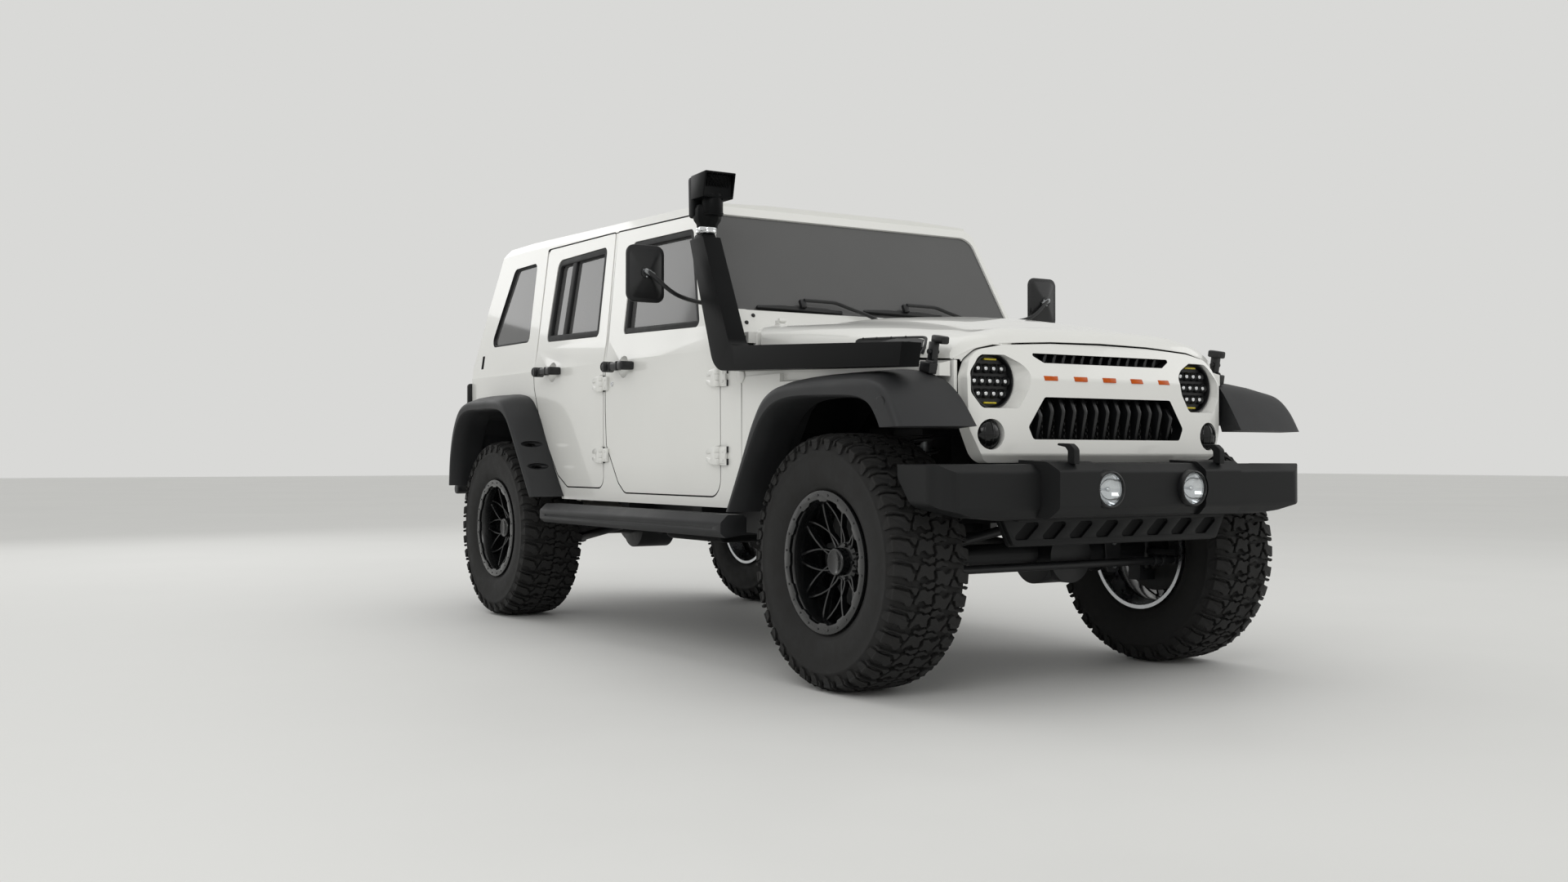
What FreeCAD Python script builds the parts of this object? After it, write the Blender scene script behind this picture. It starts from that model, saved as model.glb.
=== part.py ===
import FreeCAD, Part
import os
import Sketcher
from math import cos, pi, radians, sin, sqrt
from FreeCAD import Placement, Rotation, Vector

# Lifted off-road 4x4 in mm: +X forward, +Y left, +Z up, origin on the floor at the middle.
doc = FreeCAD.newDocument("offroader")

# Driving sizes: name, value, meaning.
drivingSizes = [
    ("frontAxleX", 1630, "front axle station"),
    ("wheelBase", 2947, "front to rear axle"),
    ("axleHeight", 434, "wheel centre height"),
    ("tyreOuter", 434, "tyre radius"),
    ("tyreWidth", 305, "tyre section width"),
    ("wheelCentreY", 727, "half track"),
    ("rimBead", 222, "bead seat radius"),
    ("rimFlange", 243, "outer ring radius"),
    ("rimWidth", 270, "rim width over the flanges"),
    ("kingpinY", 640, "steering pivot half spacing"),
    ("steerArm", 150, "steering arm length"),
    ("tieRodDrop", 36, "tie rod below the axle"),
    ("sideWidth", 768, "body half width at the belt"),
    ("shoulderWidth", 748, "body half width under the windows"),
    ("roofWidth", 684, "body half width at the drip rail"),
    ("flareWidth", 932, "half width over the flares"),
    ("doorThick", 58, "door thickness"),
    ("wallThick", 46, "body wall thickness"),
    ("topThick", 28, "hardtop wall thickness"),
    ("glassThick", 6, "glass thickness"),
    ("panelGap", 6, "gap at panel seams"),
    ("sillZ", 592, "underside of the tub"),
    ("beltZ", 1206, "top of the tub walls"),
    ("dripZ", 1800, "drip rail height"),
    ("railY", 325, "frame rail centre"),
    ("railWide", 80, "frame rail width"),
    ("railHigh", 110, "frame rail height"),
    ("axleTube", 40, "axle tube radius"),
    ("bumperFront", 2295, "front face of the bumper"),
    ("spareX", -2142, "spare wheel centre station"),
    ("spareZ", 1020, "spare wheel centre height"),
    ("stepOuter", 905, "half width over the steps"),
    ("steeringRim", 178, "steering wheel radius"),
]
sizes = doc.addObject("Spreadsheet::Sheet", "sizes")
for rowNumber, (alias, value, meaning) in enumerate(drivingSizes, start=1):
    sizes.set(f"A{rowNumber}", alias)
    sizes.set(f"B{rowNumber}", str(value))
    sizes.set(f"C{rowNumber}", meaning)
    sizes.setAlias(f"B{rowNumber}", alias)
doc.recompute()
size = {alias: float(sizes.get(alias)) for alias, value, meaning in drivingSizes}
rearAxleX = size["frontAxleX"] - size["wheelBase"]
wide = size["sideWidth"]
farOut = wide + 132
nodes = []


# Wire through (a, b) points on a plane, corners rounded where a third value gives a radius.
def outlineWire(points, place):
    count = len(points)
    edges = []
    cuts = []
    for i in range(count):
        here = Vector(points[i][0], points[i][1], 0)
        before = Vector(points[i - 1][0], points[i - 1][1], 0)
        after = Vector(points[(i + 1) % count][0], points[(i + 1) % count][1], 0)
        radius = points[i][2] if len(points[i]) > 2 else 0
        if not radius:
            cuts.append((here, None, here))
            continue
        toBefore = (before - here).normalize()
        toAfter = (after - here).normalize()
        halfTurn = toBefore.getAngle(toAfter) / 2
        back = radius * cos(halfTurn) / sin(halfTurn)
        middle = (toBefore + toAfter).normalize() * (radius / sin(halfTurn) - radius)
        cuts.append((here + toBefore * back, here + middle, here + toAfter * back))
    for i in range(count):
        start, mid, end = cuts[i]
        nextStart = cuts[(i + 1) % count][0]
        if mid is not None:
            edges.append(Part.Arc(place(start), place(mid), place(end)).toShape())
        if (nextStart - end).Length > 1e-6:
            edges.append(Part.makeLine(place(end), place(nextStart)))
    return Part.Wire(edges)


def prismX(points, low, high):
    wire = outlineWire(points, lambda p: Vector(low, p.x, p.y))
    return Part.Face(wire).extrude(Vector(high - low, 0, 0))


def prismY(points, low, high):
    wire = outlineWire(points, lambda p: Vector(p.x, low, p.y))
    return Part.Face(wire).extrude(Vector(0, high - low, 0))


def prismZ(points, low, high):
    wire = outlineWire(points, lambda p: Vector(p.x, p.y, low))
    return Part.Face(wire).extrude(Vector(0, 0, high - low))


def block(x0, x1, y0, y1, z0, z1):
    return Part.makeBox(x1 - x0, y1 - y0, z1 - z0, Vector(x0, y0, z0))


# Hinge knuckles on a line along Z: the fixed outer thirds and the moving middle third.
def hingeLeaf(x, y, z, fixedBox, movingBox, tall=72, radius=9):
    third = tall / 6
    fixed = [rod((x, y, z - 3 * third), (x, y, z - third), radius),
             rod((x, y, z + third), (x, y, z + 3 * third), radius)]
    moving = [rod((x, y, z - third + 0.3), (x, y, z + third - 0.3), radius)]
    fixed.append(block(*fixedBox, z - 3 * third, z - third))
    fixed.append(block(*fixedBox, z + third, z + 3 * third))
    moving.append(block(*movingBox, z - third + 0.3, z + third - 0.3))
    return fixed, moving


def rod(start, end, radius):
    start, end = Vector(*start), Vector(*end)
    return Part.makeCylinder(radius, (end - start).Length, start, end - start)


def mirrored(shape):
    return shape.mirror(Vector(0, 0, 0), Vector(0, 1, 0))


def bothSides(shape):
    return [shape, mirrored(shape)]


def joined(shapes):
    first, rest = shapes[0], shapes[1:]
    return first.fuse(rest).removeSplitter() if rest else first


# Ruled solid through sections, each (x, [(y, z), ...]).
def loftX(sections):
    wires = []
    for x, points in sections:
        corners = [Vector(x, y, z) for y, z in points]
        wires.append(Part.makePolygon(corners + [corners[0]]))
    return Part.makeLoft(wires, True, True)


def node(label, shape):
    if isinstance(shape, list):
        shape = Part.makeCompound(shape)
    piece = doc.addObject("Part::Feature", label)
    piece.Label = label
    piece.Shape = shape
    nodes.append(piece)
    return piece


def bound(kind, label, base, turn=None, **bindings):
    piece = doc.addObject("Part::" + kind, label)
    for name, expression in bindings.items():
        piece.setExpression(name, str(expression))
    if turn is not None:
        piece.Placement.Rotation = turn
    for axis, expression in zip("xyz", base):
        piece.setExpression("Placement.Base." + axis, str(expression))
    return piece


def fused(label, pieces):
    whole = doc.addObject("Part::MultiFuse", label)
    whole.Shapes = pieces
    whole.Label = label
    nodes.append(whole)
    return whole


alongY = Rotation(Vector(1, 0, 0), -90)
alongX = Rotation(Vector(0, 1, 0), 90)

# Side walls lean in above the belt; (half width, z) from sill to drip rail.
sideLine = [
    (size["sideWidth"] - 3, 540), (size["sideWidth"], size["beltZ"]),
    (size["shoulderWidth"], 1310), (size["roofWidth"], size["dripZ"]),
    (size["roofWidth"] - 6, 1850),
]


# Band that follows the side wall, from one depth under the outer skin to another.
def sideBand(x0, x1, outerDepth, innerDepth):
    outer = [(y - outerDepth, z) for y, z in sideLine]
    inner = [(y - innerDepth, z) for y, z in reversed(sideLine)]
    return prismX(outer + inner, x0, x1)


# Outlines in (x, z, corner radius).
doorTopFront = (470, 1776, 30)
frontDoorOutline = [
    (769, 635, 70), (769, 1262, 20), (722, 1300), doorTopFront, (-290, 1796, 12),
    (-248, 1206), (-248, 990), (-238, 839, 40), (-122, 678, 50), (-60, 635, 60),
]
frontWindow = [
    (576, 1306, 25), (426, 1722, 35), (-126, 1732, 30), (-117, 1324, 25),
]
rearDoorOutline = [
    (-274, 652, 50), (-274, 1206), (-316, 1797, 12), (-1060, 1806, 30),
    (-1052, 1197), (-1046, 1125), (-972, 944, 60), (-768, 706, 60), (-660, 652, 40),
]
rearWindow = [
    (-368, 1331, 25), (-385, 1744, 35), (-927, 1740, 50), (-959, 1344, 30),
]
quarterWindow = [
    (-1176, 1358, 30), (-1183, 1757, 35), (-1469, 1754, 45), (-1692, 1361, 40),
]

# Doors, their glass and their openings in the body.
doorTable = [
    # name, outline, window, hinge x, hinge heights, fixed strap length
    ("front_door", frontDoorOutline, frontWindow, 772, (1095, 792), 62),
    ("rear_door", rearDoorOutline, rearWindow, -271, (1113, 796), 14),
]
hingeY = wide + 9
fixedHinges = []
thick = size["doorThick"]
doorBand = sideBand(-1300, 900, 0, thick)
glassBand = sideBand(-1300, 900, 22, 22 + size["glassThick"])
for name, outline, window, hingeX, hingeHeights, strap in doorTable:
    cut = prismY(window, 0, farOut)
    door = doorBand.common(prismY(outline, 0, farOut)).cut(cut)
    for z in hingeHeights:
        fixed, moving = hingeLeaf(hingeX, hingeY, z, (hingeX, hingeX + strap, wide - 3, hingeY - 1),
                                  (hingeX - 92, hingeX, wide - 3, hingeY - 1))
        fixedHinges += fixed
        door = door.fuse(moving)
    door = door.removeSplitter()
    glass = glassBand.common(cut)
    node(name + "_left", door)
    node(name + "_right", mirrored(door))
    node(name + "_left_glass", glass)
    node(name + "_right_glass", mirrored(glass))

gap = size["panelGap"]


# The outline grown by the seam gap, for the opening round a door.
def grown(outline, by):
    face = Part.Face(outlineWire(outline, lambda p: Vector(p.x, p.y, 0)))
    bigger = face.makeOffset2D(by)
    bigger.rotate(Vector(0, 0, 0), Vector(1, 0, 0), 90)
    return bigger.extrude(Vector(0, -1000 - wide, 0)).translated(Vector(0, 232 + wide, 0))


frontOpening = grown(frontDoorOutline, gap)
rearOpening = grown(rearDoorOutline, gap)

# Tub: floor, walls, wheelhouses, bulkhead and cowl.
rearX = -1890
frontX = 930
wall = size["wallThick"]
rearArch = [
    (-680, 500), (-724, 603, 30), (-864, 790, 60), (-1014, 964, 60), (-1120, 1018, 60),
    (-1540, 1030, 60), (-1660, 990, 60), (-1730, 900, 60), (-1775, 780, 30), (-1800, 500),
]
wallBand = sideBand(rearX, frontX, 0, wall)
belt = size["beltZ"]
lowerBox = block(rearX, frontX, 0, farOut, size["sillZ"], belt)
walls = wallBand.common(lowerBox)
cowlSide = wallBand.common(prismY([(790, 592), (930, 592), (930, 1180), (860, 1262), (790, 1262)],
                                  0, farOut))
floorZ = size["sillZ"]
pieces = [
    walls,
    cowlSide,
    block(-700, 900, 0, wide - 30, floorZ, floorZ + 30),
    block(rearX, -700, 0, wide - 30, 700, 730),
    block(-730, -700, 0, wide - 30, floorZ, 730),
    block(880, 910, 0, wide - 30, floorZ, 1250),
    block(800, frontX, 0, 735, 1220, 1262),
    block(rearX, rearX + 44, 640, wide - 10, floorZ, belt),
    block(rearX, rearX + 44, 0, wide - 10, floorZ, 766),
    block(905, 930, 570, 600, 1255, 1312),
    rod((930, 570, 1312), (930, 600, 1312), 8),
    block(-1838, -1810, 540, wide - 20, floorZ, belt),
]
wheelBox = block(-1830, -760, 520, wide - 20, 640, 1060)
tubHalf = joined(pieces + [wheelBox])
archCut = prismY(rearArch, 545, farOut)
tubHalf = tubHalf.cut(archCut)
tubHalf = tubHalf.cut(frontOpening).cut(rearOpening)
tubHalf = joined([tubHalf] + fixedHinges)
gateHinges = [hingeLeaf(-1906, -646, z, (-1914, -1888, -700, -646), (-1914, -1894, -646, -560))
              for z in (862, 1120)]
tub = joined([tubHalf, mirrored(tubHalf)] + gateHinges[0][0] + gateHinges[1][0])
node("tub", tub)

# Tailgate with the carrier of the spare wheel.
gate = prismX([(-634, 772, 40), (634, 772, 40), (634, 1200, 40), (-634, 1200, 40)],
              rearX - 6, rearX + 44)
carrier = [
    rod((rearX, 0, size["spareZ"]), (size["spareX"] - 1.6, 0, size["spareZ"]), 62),
    block(rearX - 36, rearX - 6, -300, 300, 940, 1100),
] + gateHinges[0][1] + gateHinges[1][1]
node("tailgate", joined([gate] + carrier))

# Hardtop shell: outer skin less inner skin, open at the bottom and at the rear window.
topThick = size["topThick"]


def roofSolid(inset):
    def section(x, cornerZ, crownZ):
        half = [(wide - 3 - inset, belt - 20), (size["shoulderWidth"] - inset, 1310),
                (size["roofWidth"] - inset, cornerZ - 40 - inset),
                (size["roofWidth"] - 26 - inset, cornerZ - inset),
                (360, crownZ - 8 - inset)]
        return (x, half + [(-y, z) for y, z in reversed(half)])
    return loftX([section(500 - inset, 1822, 1840), section(-1300, 1872, 1896),
                  section(-1960, 1872, 1896)])


roofSide = [
    (500, 1786), (500, 1860), (480, 1900), (-1560, 1900), (-1640, 1853, 60), (-1778, 1567),
    (-1908, 1268), (-1900, belt), (-1064, belt), (-1068, 1812, 20), (460, 1784),
]
innerSide = [
    (472, 1700), (472, 1900), (-1548, 1900), (-1606, 1853, 40), (-1740, 1567),
    (-1868, 1268), (-1868, 1100), (472, 1100),
]
outerTop = roofSolid(0).common(prismY(roofSide, -farOut, farOut))
innerTop = roofSolid(topThick).common(prismY(innerSide, -farOut, farOut))
hardtop = outerTop.cut(innerTop)
hardtop = hardtop.cut(frontOpening).cut(mirrored(frontOpening))
hardtop = hardtop.cut(rearOpening).cut(mirrored(rearOpening))
hardtop = hardtop.cut(prismY(quarterWindow, -farOut, farOut))
rearGlassCut = prismX([(-590, 1100), (590, 1100), (540, 1740, 60), (-540, 1740, 60)], -2100, -1500)
hardtop = hardtop.cut(rearGlassCut)
node("hardtop", hardtop)

# Fixed glass of the hardtop: two quarter lights and the rear light.
topBand = sideBand(-1900, -1000, 12, 12 + size["glassThick"])
quarterGlass = topBand.common(prismY(quarterWindow, 0, farOut))
rearGlass = prismY([(-1893, 1268), (-1887, 1212), (-1880, 1212), (-1886, 1268), (-1758, 1562),
                    (-1640, 1800), (-1648, 1800), (-1765, 1564)], -600, 600).common(rearGlassCut)
node("hardtop_glass", bothSides(quarterGlass) + [rearGlass])

# Windshield frame, built upright and then leaned back.
lean = 28.2
frameBase = Vector(790, 0, 1290)


def leaned(shape):
    shape = shape.copy()
    shape.translate(frameBase)
    shape.rotate(frameBase, Vector(0, 1, 0), -lean)
    return shape


screenHole = [(-668, 86, 35), (668, 86, 35), (630, 540, 45), (-630, 540, 45)]
frameSheet = prismX([(-742, -30, 20), (742, -30, 20), (686, 590, 50), (-686, 590, 50)], -44, 0)
screenFrame = leaned(frameSheet.cut(prismX(screenHole, -60, 20)))
screenFrame = screenFrame.cut(frontOpening).cut(mirrored(frontOpening))
screenFrame = screenFrame.cut(tub).cut(outerTop)
node("windshield_frame", max(screenFrame.Solids, key=lambda s: s.Volume))
node("windshield_glass", leaned(prismX(screenHole, -14, -14 + size["glassThick"])))

# Hood sections: x, edge y, its low and high z, then three (y, z) inwards and the crown z.
hoodTable = [
    (936, 712, 1182, 1250, (640, 1288), (400, 1308), (330, 1333), 1341),
    (1230, 688, 1160, 1225, (610, 1266), (400, 1300), (320, 1343), 1351),
    (1748, 636, 1124, 1168, (560, 1212), (400, 1240), (310, 1279), 1286),
    (1900, 618, 1112, 1150, (548, 1192), (420, 1216), (300, 1232), 1240),
    (2012, 602, 1104, 1126, (531, 1167), (447, 1196), (363, 1205), 1213),
    (2044, 597, 1104, 1112, (525, 1144), (430, 1160), (220, 1172), 1176),
]


def hoodSections(inset):
    sections = []
    for x, edge, low, shoulder, outerPoint, midPoint, innerPoint, crown in hoodTable:
        half = [(edge - inset, low - inset), (edge - 5 - inset, shoulder - inset)]
        half += [(y - 0.6 * inset, z - inset) for y, z in (outerPoint, midPoint, innerPoint)]
        mirroredHalf = [(-y, z) for y, z in reversed(half)]
        sections.append((x, half + [(0, crown - inset)] + mirroredHalf))
    return loftX(sections)


hood = hoodSections(0).cut(hoodSections(24))
hoodEnd = hoodSections(0).common(block(2016, 2042, -700, 700, 1000, 1400))
hoodHinges = []
for side in (-1, 1):
    low, high = sorted((side * 600.3, side * 626))
    hoodHinges.append(block(930, 990, low, high, 1290, 1318))
    hoodHinges.append(rod((930, low, 1312), (930, high, 1312), 8))
hood = joined([hood, hoodEnd] + hoodHinges).cut(block(900, 936, -560, 560, 1200, 1400))

# Front fenders: a top strip that narrows forward and a panel behind the wheel.
fenderStrip = loftX([
    (frontX, [(wide - 50, 1173), (wide - 3, 1146), (wide - 3, 1070), (wide - 50, 1070)]),
    (2036, [(606, 1095), (690, 1078), (690, 1048), (606, 1048)]),
])
fenderBack = prismY([(frontX, 592), (1112, 592), (1245, 800), (1350, 950), (1440, 1010),
                     (1440, 1090), (frontX, 1090)], wide - 43, wide - 3)
fender = joined([fenderStrip, fenderBack.cut(block(1200, 1500, 700, 800, 1060, 1200))])
node("front_fenders", bothSides(fender))

# Liners over the front wheels, as one bent sheet each.
linerTable = [(1086, 594), (1108, 700), (1190, 880), (1330, 1010), (1500, 1046), (1880, 1046),
              (1970, 1000), (1997.5, 905)]
linerInner = [(x + 10, z - 4) if x < 1250 else (x, z - 10) for x, z in linerTable[:-2]]
linerInner += [(1960, 993), (1987.5, 902)]
liner = prismY(linerTable + list(reversed(linerInner)), 420, 725)
node("fender_liners", bothSides(liner))

# Flares: the opening line and the outer edge in (x, z) at the outer face and at the body.
frontLip = [(1118, 588), (1249, 785), (1359, 927), (1429, 972), (1569, 988), (1880, 981),
            (1970, 952), (2014, 925), (2040, 884)]
frontEdge = [(1092, 588), (1216, 800), (1318, 975), (1410, 1024), (1569, 1034), (1890, 1034),
             (2010, 1030), (2050, 1020), (2070, 884)]
frontBack = [(1050, 588), (1160, 800), (1270, 1000), (1390, 1062), (1569, 1072), (1890, 1072),
             (2010, 1070), (2050, 1066), (2070, 884)]
rearLip = [(-724, 603), (-864, 785), (-1010, 957), (-1112, 1006), (-1212, 1022), (-1551, 1022),
           (-1645, 992), (-1716, 908), (-1764, 780), (-1775, 640)]
rearEdge = [(-701, 603), (-835, 770), (-995, 960), (-1083, 1050), (-1212, 1068), (-1551, 1068),
            (-1668, 1036), (-1750, 930), (-1796, 790), (-1806, 640)]
rearBack = [(-696, 603), (-830, 763), (-996, 950), (-1070, 1074), (-1212, 1104), (-1551, 1104),
            (-1690, 1070), (-1785, 950), (-1828, 800), (-1838, 640)]
outer = size["flareWidth"]


def flare(lip, edge, back, bodyY):
    wires = []
    for y, line in ((outer, edge), (bodyY, back)):
        corners = [Vector(x, y, z) for x, z in lip + list(reversed(line))]
        wires.append(Part.makePolygon(corners + [corners[0]]))
    return Part.makeLoft(wires, True, True)


frontFlare = flare(frontLip, frontEdge, frontBack, wide - 3)
flareNose = prismZ([(1950, 766), (1950, 932), (2060, 932, 20), (2118, 606), (2050, 606), (2042, 690),
                    (2042, 766)], 884, 1072)
flareNose = flareNose.common(prismX([(600, 880), (outer, 880), (outer, 1000), (873, 1034),
                                     (692, 1072), (600, 1080)], 1900, 2200))
flareNose = flareNose.cut(prismY([(1940, 800), (2040, 884), (2014, 925), (1970, 952), (1940, 960)],
                                 700, 1000))
frontFlare = joined([frontFlare, flareNose])
rearFlare = flare(rearLip, rearEdge, rearBack, wide)
node("fender_flares", bothSides(frontFlare) + bothSides(rearFlare))

# Grille shell with pockets for lamps.
grilleSide = [(1998, 780), (2094, 780, 20), (2092, 1045, 40), (2040, 1172, 20), (1998, 1172)]
grilleHalf = [(545, 788, 60), (602, 890, 60), (604, 1050, 30), (584, 1102, 15), (528, 1136, 20),
              (430, 1154), (220, 1165), (0, 1168)]
grilleFront = grilleHalf + [(-y, *rest) for y, *rest in reversed(grilleHalf[:-1])]
mainOpening = [(-291, 984, 14), (291, 984, 14), (359, 885, 14), (339, 844, 14),
               (-339, 844, 14), (-359, 885, 14)]
slitOpening = [(-275, 1098, 6), (275, 1098, 6), (332, 1130, 6), (-332, 1130, 6)]
grille = prismY(grilleSide, -620, 620).common(prismX(grilleFront, 1900, 2200))
grille = grille.cut(prismX(mainOpening, 1900, 2200)).cut(prismX(slitOpening, 1900, 2200))
lampTable = [
    # y, z, pocket radius
    (469, 1038, 92), (505, 860, 50),
]
for y, z, radius in lampTable:
    for side in (-1, 1):
        grille = grille.cut(rod((1900, side * y, z), (2200, side * y, z), radius))
grille = grille.cut(block(1990, 2046, -360, 360, 830, 1010))
hood = hood.cut(prismX([(point[0] * 1.012, point[1] + 6) for point in grilleFront], 1980, 2200))
node("hood", max(hood.Solids, key=lambda s: s.Volume))
stops = [rod((2020, y, 1140), (2020, y, 1168.6), 14) for y in (-250, 250)]
node("grille_shell", joined([grille] + stops))

# Grille insert: mesh plate with upright bars, and slats in the slit.
bars = [block(2040, 2078, y - 9, y + 9, 836, 992) for y in range(-330, 331, 55)]
barOutline = prismX([(-287, 980), (287, 980), (355, 885), (335, 848), (-335, 848),
                     (-355, 885)], 1990, 2100)
insert = joined([block(2026, 2046, -360, 360, 830, 1010)]
                + [bar.common(barOutline) for bar in bars])
slats = prismX(slitOpening, 2010, 2034)
node("grille_insert", [insert, slats])

# Lamps.
lamps = []
for y, z, radius in lampTable:
    for side in (-1, 1):
        lamps.append(rod((2004, side * y, z), (2056, side * y, z), radius - 0.2))
for side in (-1, 1):
    lamps.append(rod((2220, side * 196, 682), (2262, side * 196, 682), 61.8))
node("front_lamps", lamps)
tail = prismX([(700, 1060, 15), (792, 1060, 15), (792, 1182, 15), (700, 1182, 15)],
              rearX - 26, rearX)
node("tail_lamps", bothSides(tail))

# Front bumper: wide wings, raised centre with lamp recesses, hooks and a valance.
noseX = size["bumperFront"]
wings = prismZ([(2112, -750), (2112, 750), (2006, 792), (2006, 842, 10), (2190, 842, 70),
                (noseX - 65, 780, 60), (noseX - 65, -780, 60), (2190, -842, 70),
                (2006, -842, 10), (2006, -792)], 586, 764)
wings = wings.common(prismY([(1998, 745), (2080, 640, 40), (2096, 586), (noseX - 90, 586, 30),
                             (noseX - 65, 625, 40), (noseX - 65, 740, 30), (noseX - 90, 764, 20),
                             (1998, 764)], -900, 900))
centre = prismX([(-440, 592, 20), (440, 592, 20), (374, 776, 20), (-374, 776, 20)], 2120, noseX)
bumper = joined([wings, centre])
bumper = bumper.cut(prismX([(-250, 610, 30), (250, 610, 30), (250, 752, 30), (-250, 752, 30)],
                           noseX - 75, noseX + 10))
for side in (-1, 1):
    bumper = bumper.cut(rod((noseX - 120, side * 196, 682), (noseX, side * 196, 682), 62))
bumper = bumper.cut(block(1990, 2140, -560, 560, 580, 700))
valance = prismX([(-520, 590), (520, 590), (470, 496, 20), (-470, 496, 20)], 2100, 2118)
hooks = []
for side in (-1, 1):
    y = side * 334
    hooks.append(prismY([(2150, 760), (2150, 838, 20), (2215, 838, 25), (2215, 790), (2190, 790),
                         (2190, 812), (2176, 812), (2176, 760)], y - 14, y + 14))
node("front_bumper", joined([bumper, valance, block(2100, 2160, -470, 470, 580, 600)] + hooks))

# Ladder frame: side rails kicked up over both axles, crossmembers and brackets.
railTable = [
    # x, centre z
    (2095, 650), (1250, 650), (1000, 520), (-700, 520), (-950, 620), (-1842, 620),
]
half = size["railHigh"] / 2
railLine = [(x, z + half) for x, z in railTable] + [(x, z - half) for x, z in reversed(railTable)]
railIn = size["railY"] - size["railWide"] / 2
railOut = size["railY"] + size["railWide"] / 2
rail = prismY(railLine, railIn, railOut)
crossTable = [
    # x, z, half length, half height
    (2060, 650, railIn + 5, 40), (1180, 560, railIn + 5, 35), (0, 500, railIn + 5, 62),
    (-640, 480, railIn + 5, 62), (-1806, 620, railIn + 5, 45),
]
frameParts = [rail, mirrored(rail)]
towers = []
for x, z, reach, tall in crossTable:
    frameParts.append(block(x - 30, x + 30, -reach, reach, z - tall, z + tall))
mountTable = [
    # x, z of the rail's top
    (850, 575), (100, 575), (-600, 575),
]
for x, z in mountTable:
    for side in (-1, 1):
        low, high = sorted((side * railOut, side * (railOut + 130)))
        frameParts.append(block(x - 40, x + 40, low, high, z - 60, z))
        frameParts.append(rod((x, side * 420, z - 5), (x, side * 420, floorZ), 35))
for side in (-1, 1):
    frameParts.append(rod((-1300, side * 325, 670), (-1300, side * 325, 700), 35))
    frameParts.append(rod((-1780, side * 325, 670), (-1780, side * 325, 700), 35))
    towers.append(joined([block(1560, 1700, *sorted((side * railIn, side * 500)), 862, 882),
                          block(1570, 1690, *sorted((side * railIn, side * railOut)), 705.3, 866)]))
    frameParts.append(block(-1390, -1250, *sorted((side * railIn, side * 500)), 668, 684))
    frameParts.append(block(1040, 1110, *sorted((side * 262, side * 300)), 420, 560))
    frameParts.append(block(-760, -690, *sorted((side * railIn, side * 430)), 430, 560))
    frameParts.append(block(2060, 2139.6, *sorted((side * 250, side * 420)), 600.4, 698))
shaftStart, shaftEnd = (330, 0, 520), (rearAxleX + 232.1, 0, size["axleHeight"] + 10)
frontShaftStart = (500, 190, 500)
frontShaftEnd = (size["frontAxleX"] - 232.5, 150, size["axleHeight"] + 10)
frameSolid = joined(frameParts).cut(rod(shaftStart, shaftEnd, 44))
node("frame", frameSolid.cut(rod(frontShaftStart, frontShaftEnd, 38)))

node("spring_towers", towers)

# Radiator block and engine stand between the rails.
node("engine", joined([block(1120, 1780, -230, 230, 700, 1090),
                       block(1900, 1960, -310, 310, 705.2, 1090),
                       block(1770, 1910, -60, 60, 800, 860),
                       block(1300, 1420, -railIn, railIn, 690, 720)]))

# Side steps on brackets.
step = prismX([(790, 486, 20), (size["stepOuter"], 486, 30), (size["stepOuter"], 566, 20),
               (790, 574, 20)], -660, 1010)
stepParts = [step]
for x in (800, 150, -550):
    stepParts.append(block(x - 30, x + 30, 690, 800, 520, 560))
    stepParts.append(block(x - 30, x + 30, 690, 720, 520, floorZ))
step = joined(stepParts)
node("side_steps", bothSides(step))

# Snorkel along the right fender and up the pillar.
ductOut = -wide - 90
ductIn = -wide - 10
duct = prismY([(2050, 1070, 12), (2062, 1136, 12), (1000, 1200, 40), (795, 1636), (690, 1632),
               (880, 1110, 90), (1040, 1108, 20)], ductOut, ductIn)
neck = prismZ([(694, ductOut + 6, 20), (792, ductOut + 6, 20), (792, ductIn - 6, 20), (694, ductIn - 6, 20)],
              1625, 1700)
head = prismZ([(694, ductOut - 14, 25), (842, ductOut - 14, 25), (842, ductIn + 43, 25),
               (694, ductIn + 43, 25)], 1700, 1880)
snorkel = joined([duct, neck, head])
snorkel = joined([snorkel, block(1500, 1560, ductIn - 2, -700, 1080, 1118),
                  block(1800, 1860, ductIn - 2, -690, 1070, 1104),
                  block(770, 800, ductIn - 12, -690, 1480, 1520)])
bodyBlock = mirrored(fender)
snorkel = snorkel.cut(mirrored(frontFlare)).cut(bodyBlock).cut(mirrored(frontOpening))
snorkel = snorkel.cut(screenFrame)
node("snorkel", max(snorkel.Solids, key=lambda s: s.Volume))

# Wipers parked at the foot of the glass.
blades = []
for y0, y1 in ((-646, -114), (-106, 308)):
    blade = block(4, 14, y0, y1, 92, 106)
    arm = block(4, 16, y1 - 20, y1, 40, 106)
    pivot = block(0, 12, y1 - 26, y1 + 6, 36, 60)
    blades.append(leaned(joined([blade, arm, pivot])))
node("wipers", blades)

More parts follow.
